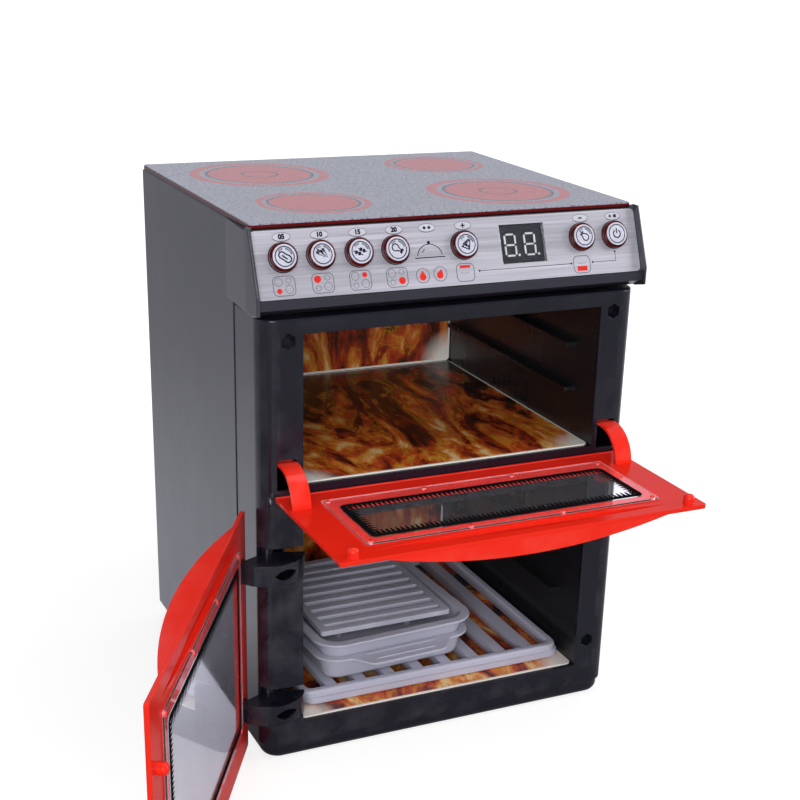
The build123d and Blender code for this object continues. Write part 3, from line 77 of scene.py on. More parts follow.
class Nodes:
    """Short names for building one node material. A noise's scale is its number of features per metre."""

    def __init__(self, name):
        self.material = bpy.data.materials.new(name)
        self.material.use_nodes = True
        self.tree = self.material.node_tree
        self.tree.nodes.clear()
        self.output = self.tree.nodes.new("ShaderNodeOutputMaterial")
        self.shader = self.tree.nodes.new("ShaderNodeBsdfPrincipled")
        self.link(self.shader.outputs[0], self.output.inputs[0])
        self.place = self.tree.nodes.new("ShaderNodeTexCoord").outputs["Object"]

    def link(self, source, target):
        self.tree.links.new(source, target)

    def new(self, kind, **settings):
        node = self.tree.nodes.new(kind)
        for key, value in settings.items():
            setattr(node, key, value)
        return node

    def put(self, node, socket, value):
        """Links a socket, or writes a constant into it."""
        if hasattr(value, "is_linked"):
            self.link(value, node.inputs[socket])
        else:
            node.inputs[socket].default_value = value

    def math(self, operation, a, b=0.0):
        node = self.new("ShaderNodeMath", operation=operation)
        self.put(node, 0, a)
        self.put(node, 1, b)
        return node.outputs[0]

    def scaled(self, scale):
        """The place on the object, stretched along each axis."""
        node = self.new("ShaderNodeVectorMath", operation="MULTIPLY")
        self.link(self.place, node.inputs[0])
        node.inputs[1].default_value = scale
        return node.outputs[0]

    def noise(self, scale, detail=3.0, rough=0.5, stretch=(1, 1, 1)):
        node = self.new("ShaderNodeTexNoise")
        self.link(self.scaled(stretch), node.inputs["Vector"])
        node.inputs["Scale"].default_value = scale
        node.inputs["Detail"].default_value = detail
        node.inputs["Roughness"].default_value = rough
        return node.outputs["Fac"]

    def cells(self, scale):
        node = self.new("ShaderNodeTexVoronoi")
        self.link(self.place, node.inputs["Vector"])
        node.inputs["Scale"].default_value = scale
        return node.outputs["Distance"]

    def ramp(self, fac, *stops):
        """Colour or grey by position; a stop is its place and its value."""
        node = self.new("ShaderNodeValToRGB")
        elements = node.color_ramp.elements
        while len(elements) < len(stops):
            elements.new(0.5)
        for element, (position, value) in zip(elements, stops):
            element.position = position
            if isinstance(value, (int, float)):
                element.color = (value, value, value, 1)
            else:
                element.color = (*value, 1)
        self.link(fac, node.inputs[0])
        return node.outputs[0]

    def remap(self, value, low, high, to_low, to_high):
        node = self.new("ShaderNodeMapRange")
        self.link(value, node.inputs["Value"])
        for socket, number in zip(RANGE_SOCKETS, (low, high, to_low, to_high)):
            node.inputs[socket].default_value = number
        return node.outputs[0]

    def tones(self, fac, low, high):
        """Colours from low to high over the middle range of a noise."""
        return self.ramp(fac, (NOISE_LOW, low), (NOISE_HIGH, high))

    def spread(self, fac, low, high):
        """Numbers from low to high over the middle range of a noise."""
        return self.remap(fac, NOISE_LOW, NOISE_HIGH, low, high)

    def mix(self, fac, a, b, blend="MIX"):
        node = self.new("ShaderNodeMix", data_type="RGBA", blend_type=blend)
        self.put(node, 0, fac)
        for socket, value in zip(MIX_SOCKETS, (a, b)):
            if isinstance(value, tuple):
                value = (*value, 1) if len(value) == 3 else value
            self.put(node, socket, value)
        return node.outputs[MIX_RESULT]

    def xyz(self):
        node = self.new("ShaderNodeSeparateXYZ")
        self.link(self.place, node.inputs[0])
        return node.outputs

    def bump(self, height, distance, strength=1.0, edge=0.0):
        """Bump in metres, over edges softened by a small radius."""
        node = self.new("ShaderNodeBump")
        node.inputs["Strength"].default_value = strength
        node.inputs["Distance"].default_value = distance
        self.link(height, node.inputs["Height"])
        if edge:
            soft = self.new("ShaderNodeBevel", samples=4)
            soft.inputs["Radius"].default_value = edge
            self.link(soft.outputs[0], node.inputs["Normal"])
        self.link(node.outputs[0], self.shader.inputs["Normal"])

    def edges(self, radius):
        """1 on sharp edges, falling to 0 at the given distance from them."""
        soft = self.new("ShaderNodeBevel", samples=6)
        soft.inputs["Radius"].default_value = radius
        turn = self.new("ShaderNodeVectorMath", operation="DOT_PRODUCT")
        self.link(soft.outputs[0], turn.inputs[0])
        self.link(self.new("ShaderNodeNewGeometry").outputs["True Normal"], turn.inputs[1])
        return self.remap(turn.outputs["Value"], *EDGE_TURN, 0.0, 1.0)

    def pass_lamps(self, tint):
        """Lets light from lamps straight through, tinted, so that what lies behind stays lit."""
        clear = self.new("ShaderNodeBsdfTransparent")
        clear.inputs["Color"].default_value = (*tint, 1)
        chooser = self.new("ShaderNodeMixShader")
        self.link(self.new("ShaderNodeLightPath").outputs["Is Shadow Ray"], chooser.inputs[0])
        self.link(self.shader.outputs[0], chooser.inputs[1])
        self.link(clear.outputs[0], chooser.inputs[2])
        self.link(chooser.outputs[0], self.output.inputs[0])

    def set(self, **values):
        for socket, value in values.items():
            self.put(self.shader, socket.replace("_", " "), value)


def srgb(r, g, b):
    """8-bit display colour to linear."""
    return tuple((c / 255 / 12.92) if c <= 10 else ((c / 255 + 0.055) / 1.055) ** 2.4 for c in (r, g, b))


# Darkest and lightest tone of each moulding, and the colour where its edges are rubbed
CASING_TONES = ((0.023, 0.023, 0.036), (0.0255, 0.0255, 0.0395))
CASING_RUBBED = (0.09, 0.09, 0.1)
FRAME_TONES = ((0.006, 0.006, 0.012), (0.008, 0.008, 0.016))
FRAME_RUBBED = (0.05, 0.05, 0.06)
LINER_TONES = ((0.006, 0.006, 0.008), (0.010, 0.010, 0.012))
RED_TONES = ((0.765, 0.018, 0.0075), (0.8, 0.0205, 0.0083))
RED_RUBBED = (0.85, 0.08, 0.06)
RACK_TONES = (srgb(166, 167, 184), srgb(178, 179, 197))
TRAY_TONES = (srgb(158, 159, 174), srgb(171, 172, 188))
GREY_RUBBED = (0.6, 0.61, 0.68)
EDGE_SOFTENED = 0.0005
DRIFT = 9.0
SMEARS = 26.0
RUB_PATCHES = 60.0
PEEL = 420.0
PEEL_DEPTH = 0.00002
SPECKLE = 1400.0
SPECKLE_SHARE = 0.06
RUB_SHARE = 0.5
SMEAR_REACH = 0.05  # how far the roughness drifts either way


def moulded(name, tones, roughness, rubbed=None):
    """Injection-moulded plastic: slow tone drift, fine orange peel, rubbed edges."""
    n = Nodes(name)
    colour = n.tones(n.noise(DRIFT, 3.0, 0.6), *tones)
    speckle = n.ramp(n.noise(SPECKLE, 2.0), (0.35, 0.0), (0.65, 1.0))
    colour = n.mix(SPECKLE_SHARE, colour, speckle, "SOFT_LIGHT")
    if rubbed:
        edges = n.ramp(n.new("ShaderNodeNewGeometry").outputs["Pointiness"], (0.52, 0.0), (0.6, 1.0))
        patches = n.ramp(n.noise(RUB_PATCHES), (0.4, 0.0), (0.7, 1.0))
        share = n.math("MULTIPLY", n.math("MULTIPLY", edges, patches), RUB_SHARE)
        colour = n.mix(share, colour, rubbed)
    n.set(Base_Color=colour)
    smears = n.noise(SMEARS, 4.0, 0.6, (1, 1, 0.4))
    n.set(Roughness=n.spread(smears, roughness * (1 - SMEAR_REACH), roughness * (1 + SMEAR_REACH)))
    n.bump(n.noise(PEEL, 2.0), PEEL_DEPTH, 0.5, EDGE_SOFTENED)
    return n


def casing_material():
    return moulded("casing_charcoal", CASING_TONES, 0.3, CASING_RUBBED).material


def frame_material():
    n = moulded("frame_black", FRAME_TONES, 0.18, FRAME_RUBBED)
    n.set(Specular_IOR_Level=0.4)
    return n.material


def liner_material():
    return moulded("liner_black", LINER_TONES, 0.28).material


def door_material():
    """Glossy red that lets a little light in under its skin."""
    n = moulded("door_red", RED_TONES, 0.14, RED_RUBBED)
    n.set(Specular_IOR_Level=0.2)
    n.set(Subsurface_Weight=0.04, Subsurface_Radius=(0.002, 0.0004, 0.0003), Subsurface_Scale=1.0)
    return n.material


def grey_material(name, tones):
    return moulded(name, tones, 0.3, GREY_RUBBED).material


PANE_TONES = ((0.74, 0.73, 0.78), (0.8, 0.79, 0.84))
# Pale colour painted on the pane's cut edges as a highlight
PANE_EDGE_HIGHLIGHT = (0.62, 0.6, 0.64)
PANE_SHADOW = (0.9, 0.9, 0.92)
PANE_CLEAR = (0.98, 0.5)  # how much light its face and its cut edges let through
# width of the painted highlight along the cut edges
PANE_HIGHLIGHT_WIDE = 0.0006
PANE_IOR = 1.32
LENS_IOR = 1.3
ACRYLIC_IOR = 1.49


def pane_material():
    """Clear sheet whose cut edges are less clear and carry a painted highlight."""
    n = Nodes("clear_pane")
    haze = n.noise(38.0, 4.0, 0.6)
    edge = n.edges(PANE_HIGHLIGHT_WIDE)
    # cut edges: less clear, with a painted highlight
    n.set(Base_Color=n.mix(edge, n.tones(haze, *PANE_TONES), PANE_EDGE_HIGHLIGHT))
    n.set(Transmission_Weight=n.remap(edge, 0.0, 1.0, *PANE_CLEAR), IOR=PANE_IOR)
    n.set(Roughness=n.spread(n.noise(90.0, 3.0), 0.01, 0.04))
    n.bump(n.noise(55.0, 2.0), 0.00004, 0.3)
    n.pass_lamps(PANE_SHADOW)
    return n.material


LIGHT_PLATE_TONES = ((0.085, 0.002, 0.003), (0.12, 0.003, 0.005))
# Painted shade along the foot of the light plate's edge, in place of the shadowed gap below it
PLATE_PAINTED_SHADE = (0.008, 0.001, 0.001)
PAINTED_SHADE_BAND = (0.9, 1.3)  # mm above the plate's underside: painted shade below the first, full red above the second
RED_IN_PAINTED_SHADE = 0.04  # how much of the red shows through the painted shade


def light_plate_material():
    """Red sheet with painted shade along the foot of its edge, standing in for the shadowed gap below it.
    """
    n = Nodes("red_translucent")
    red = n.tones(n.noise(30.0, 3.0), *LIGHT_PLATE_TONES)
    low, high = [(PLATE_LOW + rise) * MM for rise in PAINTED_SHADE_BAND]
    # painted shade: near black along the foot of the edge, full red above it
    n.set(Base_Color=n.mix(n.remap(n.xyz()[2], low, high, RED_IN_PAINTED_SHADE, 1.0), PLATE_PAINTED_SHADE, red))
    n.set(Roughness=n.spread(n.noise(120.0), 0.12, 0.2), IOR=ACRYLIC_IOR, Specular_IOR_Level=0.2)
    n.bump(n.noise(300.0), 0.00002, 0.4)
    return n.material


HOB_LIGHT = srgb(156, 160, 176)
HOB_DARK = srgb(70, 72, 88)
SALMON = srgb(190, 98, 103)
RING_GREY = srgb(70, 70, 86)
DIMPLES = 560.0
DIMPLE_DEPTH = 0.00012
GRAINS = 900.0
GRAIN_SHARE = 0.25
DISC_GRAIN_SHARE = 0.16
RING_SHARE = 0.9
# Millimetres from a burner's middle to where each of its printed bands ends, outwards
BIG_DOT = (11.2, 13.0)
BIG_BURNER = (35.0, 37.3, 41.0, 47.5)
SMALL_BURNER = (28.0, 29.7, 32.0, 36.0)
BURNERS = (
    ((65.0, FRONT + 78.0), BIG_DOT, BIG_BURNER),
    ((-65.0, FRONT + 181.0), BIG_DOT, BIG_BURNER),
    ((72.0, FRONT + 190.0), None, SMALL_BURNER),
    ((-68.0, FRONT + 72.0), None, SMALL_BURNER),
)
RAMP_REACH = 60.0  # distance that a whole colour ramp spans
RING_SOFT = 0.15  # half the width of a printed edge's blur


def hob_material():
    """Dimpled grey print with salmon burners, each a disc with a ring round it and dark lines."""
    n = Nodes("hob_print")
    dimples = n.cells(DIMPLES)
    grains = n.ramp(n.noise(GRAINS, 2.0), (0.35, 0.25), (0.65, 0.75))
    base = n.mix(GRAIN_SHARE, n.ramp(dimples, (0.1, HOB_DARK), (0.55, HOB_LIGHT)), grains, "SOFT_LIGHT")
    red_share = 0.0
    grey_share = 0.0
    for (x, y), dot, bands in BURNERS:
        away = n.new("ShaderNodeVectorMath", operation="DISTANCE")
        n.link(n.scaled((1, 1, 0)), away.inputs[0])
        away.inputs[1].default_value = (x * MM, y * MM, 0)
        reach = n.math("DIVIDE", away.outputs["Value"], RAMP_REACH * MM)
        disc, dark, light, outer = [band / RAMP_REACH for band in bands]
        red_stops = [(0.0, 1.0), (disc, 0.0), (light, 1.0), (outer, 0.0)]
        grey_stops = [(0.0, 0.0), (disc, 1.0), (dark, 0.0)]
        if dot:
            grey_stops[1:1] = [(dot[0] / RAMP_REACH, 1.0), (dot[1] / RAMP_REACH, 0.0)]
        red = n.ramp(reach, *smooth_steps(red_stops, RING_SOFT / RAMP_REACH))
        grey = n.ramp(reach, *smooth_steps(grey_stops, RING_SOFT / RAMP_REACH))
        red_share = n.math("MAXIMUM", red_share, red)
        grey_share = n.math("MAXIMUM", grey_share, grey)
    printed = n.mix(red_share, base, n.mix(DISC_GRAIN_SHARE, SALMON, base, "SOFT_LIGHT"))
    printed = n.mix(n.math("MULTIPLY", grey_share, RING_SHARE), printed, RING_GREY)
    n.set(Base_Color=printed)
    n.set(Roughness=n.remap(dimples, 0.1, 0.6, 0.3, 0.22), Coat_Weight=0.3, Coat_Roughness=0.15)
    n.bump(dimples, DIMPLE_DEPTH, 0.6)
    return n.material


def smooth_steps(stops, soft):
    """Colour-ramp stops for a row of flat steps with narrow soft edges between them."""
    out = [stops[0]]
    for (_, before), (position, value) in zip(stops, stops[1:]):
        out.append((position - soft, before))
        out.append((position + soft, value))
    return out


BRUSHED_TONES = (srgb(162, 161, 172), srgb(182, 181, 193))
DISC_TONES = (srgb(196, 197, 216), srgb(218, 219, 234))
BUTTON_TONES = ((0.03, 0.0004, 0.001), (0.075, 0.0008, 0.0015))
LENS_TONES = ((0.72, 0.74, 0.78), (0.8, 0.82, 0.86))
LENS_SHADOW = (0.8, 0.82, 0.85)
DIGIT_TONES = ((0.46, 0.44, 0.4), (0.54, 0.52, 0.48))
DISPLAY_TONES = ((0.003, 0.003, 0.006), (0.006, 0.006, 0.01))
BOARD_TONES = ((0.01, 0.08, 0.03), (0.02, 0.14, 0.05))
RUBBER_TONES = ((0.3, 0.3, 0.3), (0.4, 0.4, 0.4))
SPEAKER_TONES = ((0.01, 0.01, 0.01), (0.03, 0.03, 0.03))
SPRING_TONES = ((0.5, 0.5, 0.52), (0.66, 0.66, 0.68))
SCREW_TONES = ((0.4, 0.4, 0.42), (0.56, 0.56, 0.58))


STREAKS = 420.0
STREAK_STRETCH = (0.016, 1, 1)
FINE_STREAKS = 900.0
FINE_STRETCH = (0.012, 1, 1)
FINE_SHARE = 0.35
HAIRLINE = 0.00001  # depth of brushing and turning marks


def brushed_material():
    """Silver foil brushed along the panel."""
    n = Nodes("brushed_panel")
    streak = n.noise(STREAKS, 5.0, 0.7, STREAK_STRETCH)
    fine = n.noise(FINE_STREAKS, 2.0, 0.5, FINE_STRETCH)
    colour = n.ramp(streak, (0.25, BRUSHED_TONES[0]), (0.75, BRUSHED_TONES[1]))
    colour = n.mix(FINE_SHARE, colour, n.ramp(fine, (0.3, 0.3), (0.7, 0.75)), "SOFT_LIGHT")
    n.set(Base_Color=colour, Metallic=0.4)
    n.set(Roughness=n.spread(fine, 0.32, 0.46), Anisotropic=0.6)
    n.bump(fine, HAIRLINE, 0.5)
    return n.material


def disc_material():
    n = Nodes("button_silver")
    fine = n.noise(700.0, 3.0)
    n.set(Base_Color=n.tones(fine, *DISC_TONES), Metallic=0.3)
    n.set(Roughness=n.spread(n.noise(150.0), 0.24, 0.36))
    n.bump(fine, HAIRLINE, 0.4, 0.0002)
    return n.material


def button_material():
    n = Nodes("button_red")
    n.set(Base_Color=n.tones(n.noise(140.0, 2.0), *BUTTON_TONES))
    n.set(Roughness=n.spread(n.noise(300.0), 0.07, 0.13), IOR=ACRYLIC_IOR, Specular_IOR_Level=0.22)
    n.bump(n.noise(260.0), 0.00002, 0.3, 0.0003)
    return n.material


def lens_material():
    n = Nodes("smoked_lens")
    n.set(Base_Color=n.tones(n.noise(60.0), *LENS_TONES))
    n.set(Transmission_Weight=1.0, IOR=LENS_IOR)
    n.set(Roughness=n.spread(n.noise(200.0), 0.02, 0.05))
    n.pass_lamps(LENS_SHADOW)
    return n.material


def digit_material():
    n = Nodes("digit_white")
    n.set(Base_Color=n.tones(n.noise(500.0), *DIGIT_TONES))
    n.set(Roughness=n.spread(n.noise(300.0), 0.4, 0.6))
    return n.material


def metal_material(name, tones, roughness):
    """Turned or drawn metal."""
    n = Nodes(name)
    turned = n.noise(240.0, 4.0, 0.6, (1, 1, 0.2))
    n.set(Base_Color=n.tones(turned, *tones), Metallic=1.0)
    n.set(Roughness=n.spread(n.noise(500.0), roughness * 0.8, roughness * 1.3))
    n.bump(turned, HAIRLINE, 0.5, 0.0001)
    return n.material


def plain_material(name, tones, roughness, scale=80.0, shine=0.5):
    """Small parts and inks: a faint cloud of tone and a fine grain."""
    n = Nodes(name)
    n.set(Base_Color=n.tones(n.noise(scale, 4.0, 0.6), *tones))
    n.set(Roughness=n.spread(n.noise(scale * 2), roughness * 0.85, roughness * 1.15))
    n.set(Specular_IOR_Level=shine)
    n.bump(n.noise(scale * 6), 0.00003, 0.5)
    return n.material


CARD_HALF = 102.5
CARD_BORDER = 1.6
CARD_PALE = (0.78, 0.75, 0.7)
CORNER_FADE = 26.0
FLOOR_CARD = (FRONT + 3.5, FRONT + 213.8)  # front and back edge
UPPER_BACK_CARD = (192.0, 285.8)  # bottom and top edge
LOWER_BACK_CARD = (27.0, 164.5)
BROAD_TONGUES = (22.0, 9.0, 2.4)  # across, along, distortion
FINE_TONGUES = (75.0, 30.0, 1.2)
FLAME = (
    (0.05, (0.012, 0.004, 0.003)),
    (0.24, (0.06, 0.012, 0.005)),
    (0.42, (0.3, 0.03, 0.007)),
    (0.62, (0.52, 0.08, 0.012)),
    (0.8, (0.66, 0.24, 0.03)),
    (0.98, (0.74, 0.5, 0.24)),
)
STREAK = (0.48, 0.32, 0.015)
BROAD_SHARE = 0.72
HEAT_RANGE = (0.36, 0.62)
HEAT_LIFT = 0.12
COOLING = 0.45  # how much cooler the far edge is than the near one
CREST_WIDE = 0.014
CREST_STRONG = 0.75
FADE_FULL = 0.4  # share of the corner's fade that is fully pale


def flame_material(name, flat_axis, edges):
    """Card printed with flames, pale along its rim and in its near corners.

    It lies across X and along the given axis, between the two edges.
    """
    n = Nodes(name)
    across, deep, tall = n.xyz()
    along = tall if flat_axis == "z" else deep
    first, last = [edge * MM for edge in edges]
    layers = []
    for wide, long, distortion in (BROAD_TONGUES, FINE_TONGUES):
        stretch = (wide, 1.0, long) if flat_axis == "z" else (wide, long, 1.0)
        tongues = n.new("ShaderNodeTexNoise")
        n.link(n.scaled(stretch), tongues.inputs["Vector"])
        tongues.inputs["Scale"].default_value = 1.0
        tongues.inputs["Detail"].default_value = 4.0
        tongues.inputs["Roughness"].default_value = 0.6
        tongues.inputs["Distortion"].default_value = distortion
        layers.append(tongues.outputs["Fac"])
    broad, fine = layers
    fine_part = n.math("MULTIPLY", fine, 1 - BROAD_SHARE)
    heat = n.math("ADD", n.math("MULTIPLY", broad, BROAD_SHARE), fine_part)
    heat = n.math("ADD", n.remap(heat, *HEAT_RANGE, 0.0, 1.0), HEAT_LIFT)
    height = n.remap(along, first, last, 0.0, 1.0)
    heat = n.math("SUBTRACT", heat, n.math("MULTIPLY", height, COOLING))
    from_crest = n.math("ABSOLUTE", n.math("SUBTRACT", broad, 0.5))
    crest = n.remap(from_crest, 0.0, CREST_WIDE, CREST_STRONG, 0.0)
    colour = n.mix(crest, n.ramp(heat, *FLAME), STREAK)
    side = n.math("ABSOLUTE", across)
    corner = n.new("ShaderNodeCombineXYZ")
    n.link(n.math("SUBTRACT", side, CARD_HALF * MM), corner.inputs[0])
    n.link(n.math("SUBTRACT", along, first), corner.inputs[1])
    away = n.new("ShaderNodeVectorMath", operation="LENGTH")
    n.link(corner.outputs[0], away.inputs[0])
    reach = CORNER_FADE * MM
    fade = n.remap(away.outputs["Value"], FADE_FULL * reach, reach, 1.0, 0.0)
    border = CARD_BORDER * MM
    edge = n.math("GREATER_THAN", side, CARD_HALF * MM - border)
    edge = n.math("MAXIMUM", edge, n.math("LESS_THAN", along, first + border))
    edge = n.math("MAXIMUM", edge, n.math("GREATER_THAN", along, last - border))
    n.set(Base_Color=n.mix(n.math("MAXIMUM", edge, fade), colour, CARD_PALE))
    n.set(Roughness=n.spread(n.noise(70.0), 0.25, 0.4))
    n.bump(n.noise(500.0), 0.00001, 0.4)
    return n.material


materials = {
    "casing_charcoal": casing_material(),
    "frame_black": frame_material(),
    "liner_black": liner_material(),
    "red_translucent": light_plate_material(),
    "hob_print": hob_material(),
    "circuit_green": plain_material("circuit_green", BOARD_TONES, 0.4),
    "brushed_panel": brushed_material(),
    "smoked_lens": lens_material(),
    "display_black": plain_material("display_black", DISPLAY_TONES, 0.5, shine=0.2),
    "digit_white": digit_material(),
    "rubber_mat": plain_material("rubber_mat", RUBBER_TONES, 0.8),
    "speaker_black": plain_material("speaker_black", SPEAKER_TONES, 0.8),
    "spring_steel": metal_material("spring_steel", SPRING_TONES, 0.25),
    "screw_steel": metal_material("screw_steel", SCREW_TONES, 0.32),
    "door_red": door_material(),
    "clear_pane": pane_material(),
    "rack_grey": grey_material("rack_grey", RACK_TONES),
    "tray_grey": grey_material("tray_grey", TRAY_TONES),
    "button_red": button_material(),
    "button_silver": disc_material(),
}
floor_cards = flame_material("flame_floor", "y", FLOOR_CARD)
back_cards = {
    "upper_back_card": flame_material("flame_upper_back", "z", UPPER_BACK_CARD),
    "lower_back_card": flame_material("flame_lower_back", "z", LOWER_BACK_CARD),
}
slots = {part["node"]: part["material_slot"] for part in frame["record"]["subparts"]}
for node, obj in frame["nodes"].items():
    material = back_cards.get(node) or (floor_cards if node.endswith("floor_card") else None)
    if material is None:
        material = materials[slots[node]]
    if not obj.data.materials:
        obj.data.materials.append(material)
    for index in range(len(obj.data.materials)):
        obj.data.materials[index] = material

# ------------------------------------------------------------------ printed marks
DARK_TONES = ((0.006, 0.005, 0.016), (0.012, 0.01, 0.026))
GREY_TONES = (srgb(92, 92, 106), srgb(106, 106, 120))
SIGNAL_TONES = (srgb(204, 36, 28), srgb(220, 48, 38))
PALE_TONES = (srgb(180, 180, 192), srgb(192, 192, 203))
BORDER_TONES = ((0.004, 0.004, 0.005), (0.008, 0.008, 0.009))
ink = plain_material("ink_dark", DARK_TONES, 0.45, 300.0, shine=0.1)
ink_grey = plain_material("ink_grey", GREY_TONES, 0.45, 300.0, shine=0.2)
ink_red = plain_material("ink_red", SIGNAL_TONES, 0.4, 300.0, shine=0.2)
ink_pale = plain_material("ink_pale", PALE_TONES, 0.4, 300.0)
ink_window = plain_material("ink_window", BORDER_TONES, 0.35, 200.0, shine=0.0)

INK_THICK = 0.04
OVERPRINT = 0.01  # how far a mark lies above the one that it crosses


class Marks:
    """Flat printed marks gathered into one mesh. Coordinates are millimetres in a plane."""

    def __init__(self):
        self.mesh = bmesh.new()

    def plate(self, points, level=0.0, thick=INK_THICK):
        """A filled outline."""
        low = [self.mesh.verts.new((x, y, level)) for x, y in points]
        high = [self.mesh.verts.new((x, y, level + thick)) for x, y in points]
        self.mesh.faces.new(list(reversed(low)))
        self.mesh.faces.new(high)
        for i in range(len(points)):
            j = (i + 1) % len(points)
            self.mesh.faces.new((low[i], low[j], high[j], high[i]))

    def band(self, outer, inner, level=0.0):
        """The ring between two outlines with as many points each."""
        top = level + INK_THICK
        rings = []
        for points, z in ((outer, level), (outer, top), (inner, top), (inner, level)):
            rings.append([self.mesh.verts.new((x, y, z)) for x, y in points])
        for k in range(4):
            a, b = rings[k], rings[(k + 1) % 4]
            for i in range(len(a)):
                j = (i + 1) % len(a)
                self.mesh.faces.new((a[i], a[j], b[j], b[i]))

    def line(self, points, width, closed=False, level=0.0):
        """A stroke of even width."""
        left, right = offset_pair(points, width / 2, closed)
        if closed:
            self.band(left, right, level)
        else:
            self.plate(left + right[::-1], level)

    def done(self, name, material, matrix, body, slot):
        """Ends the mesh, lays it in its plane and fixes it to its body."""
        bmesh.ops.recalc_face_normals(self.mesh, faces=self.mesh.faces)
        data = bpy.data.meshes.new(name)
        self.mesh.to_mesh(data)
        self.mesh.free()
        data.transform(matrix)
        printed(name, data, material, body, slot)


def printed(name, data, material, body, slot):
    """One printed piece of the given mesh."""
    data.materials.append(material)
    obj = bpy.data.objects.new(name, data)
    bpy.context.scene.collection.objects.link(obj)
    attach(obj, body)


SHORTEST = 1e-9
SHARPEST = 0.45  # keeps the corner of a stroke from running far out


def offset_pair(points, reach, closed):
    """The two outlines at a distance either side of a path."""
    sides = ([], [])
    count = len(points)
    for i, (x, y) in enumerate(points):
        before = points[i - 1] if closed or i else points[i]
        after = points[(i + 1) % count] if closed or i < count - 1 else points[i]
        steps = []
        for (ax, ay), (bx, by) in ((before, (x, y)), ((x, y), after)):
            length = math.hypot(bx - ax, by - ay)
            if length > SHORTEST:
                steps.append(((bx - ax) / length, (by - ay) / length))
        dx = sum(s[0] for s in steps) / len(steps)
        dy = sum(s[1] for s in steps) / len(steps)
        size = max(math.hypot(dx, dy), SHARPEST)
        nx, ny = -dy / size / size, dx / size / size
        for side, sign in zip(sides, (1, -1)):
            side.append((x + sign * nx * reach, y + sign * ny * reach))
    return sides


def circle(cx, cy, r, steps=32, ry=None):
    """A circle, or an ellipse where a second radius is given."""
    return arc(cx, cy, r, 0, 360, steps, ry)[:-1]


def arc(cx, cy, r, start, end, steps=16, ry=None):
    """Part of a circle or ellipse, in degrees from +x."""
    ry = r if ry is None else ry
    turns = [math.radians(start + (end - start) * k / steps) for k in range(steps + 1)]
    return [(cx + r * math.cos(t), cy + ry * math.sin(t)) for t in turns]


def rectangle(cx, cy, wide, tall):
    """A rectangle round its middle."""
    w, h = wide / 2, tall / 2
    return [(cx - w, cy - h), (cx + w, cy - h), (cx + w, cy + h), (cx - w, cy + h)]


def rounded(cx, cy, wide, tall, r, steps=5):
    """A rectangle with round corners."""
    out = []
    for sx, sy, start in ((1, 1, 0), (-1, 1, 90), (-1, -1, 180), (1, -1, 270)):
        out += arc(cx + sx * (wide / 2 - r), cy + sy * (tall / 2 - r), r, start, start + 90, steps)
    return out


def moved(points, dx, dy, turn=0.0, scale=1.0):
    """The outline turned by degrees, scaled, then shifted."""
    c, s = math.cos(math.radians(turn)), math.sin(math.radians(turn))
    return [(dx + scale * (x * c - y * s), dy + scale * (x * s + y * c)) for x, y in points]


def plane_matrix(origin, x_dir, z_dir):
    """From millimetres in a plane to metres in the model's frame."""
    x = Vector(x_dir).normalized()
    z = Vector(z_dir).normalized()
    y = z.cross(x)
    rows = Matrix((x, y, z)).transposed().to_4x4()
    rows.translation = Vector(origin) * MM
    return rows @ Matrix.Scale(MM, 4)


SLOPE = (0.0, -0.92822, 0.37205)  # the way that the slanted panel faces
PANEL_FOOT = (FRONT - 2.3, 300.1)  # y and z of its lower edge
PANEL_TOP = 0.6  # where the panel's foil and the discs on the buttons end, above the panel's seat
DISC_TOP = 4.9


def panel_plane(rise):
    """A plane so far above the panel, with its origin over the panel's lower edge."""
    y, z = PANEL_FOOT
    return plane_matrix((0, y + SLOPE[1] * rise, z + SLOPE[2] * rise), (1, 0, 0), SLOPE)


fascia_at = panel_plane(PANEL_TOP)
disc_at = panel_plane(DISC_TOP)
BUTTON_ROW = 32.3
BUTTON_X = {
    "five": -112.2,
    "ten": -88.6,
    "fifteen": -64.3,
    "twenty": -40.6,
    "plus": 5.5,
    "minus": 89.0,
    "power": 113.2,
}

FIGURE_SIZE = 3.9
FIGURE_BOLD = 0.24
FIGURE_RISE = 0.02
WELD = 1e-7


def figure_mark(name, text, x, y):
    """Generic figures on the panel, centred at x, y."""
    curve = bpy.data.curves.new(name, "FONT")
    curve.body = text
    curve.size = FIGURE_SIZE
    curve.align_x = "CENTER"
    curve.align_y = "CENTER"
    curve.extrude = INK_THICK / 2
    curve.offset = FIGURE_BOLD
    curve.resolution_u = 4
    holder = bpy.data.objects.new(name + "_curve", curve)
    bpy.context.scene.collection.objects.link(holder)
    bpy.context.view_layer.update()
    data = bpy.data.meshes.new_from_object(holder)
    bpy.data.objects.remove(holder)
    data.name = name
    data.transform(fascia_at @ Matrix.Translation((x, y, INK_THICK / 2 + FIGURE_RISE)))
    mesh = bmesh.new()
    mesh.from_mesh(data)
    bmesh.ops.remove_doubles(mesh, verts=mesh.verts, dist=WELD)
    mesh.to_mesh(data)
    mesh.free()
    data.materials.clear()
    printed(name, data, ink, "housing", PRINT)


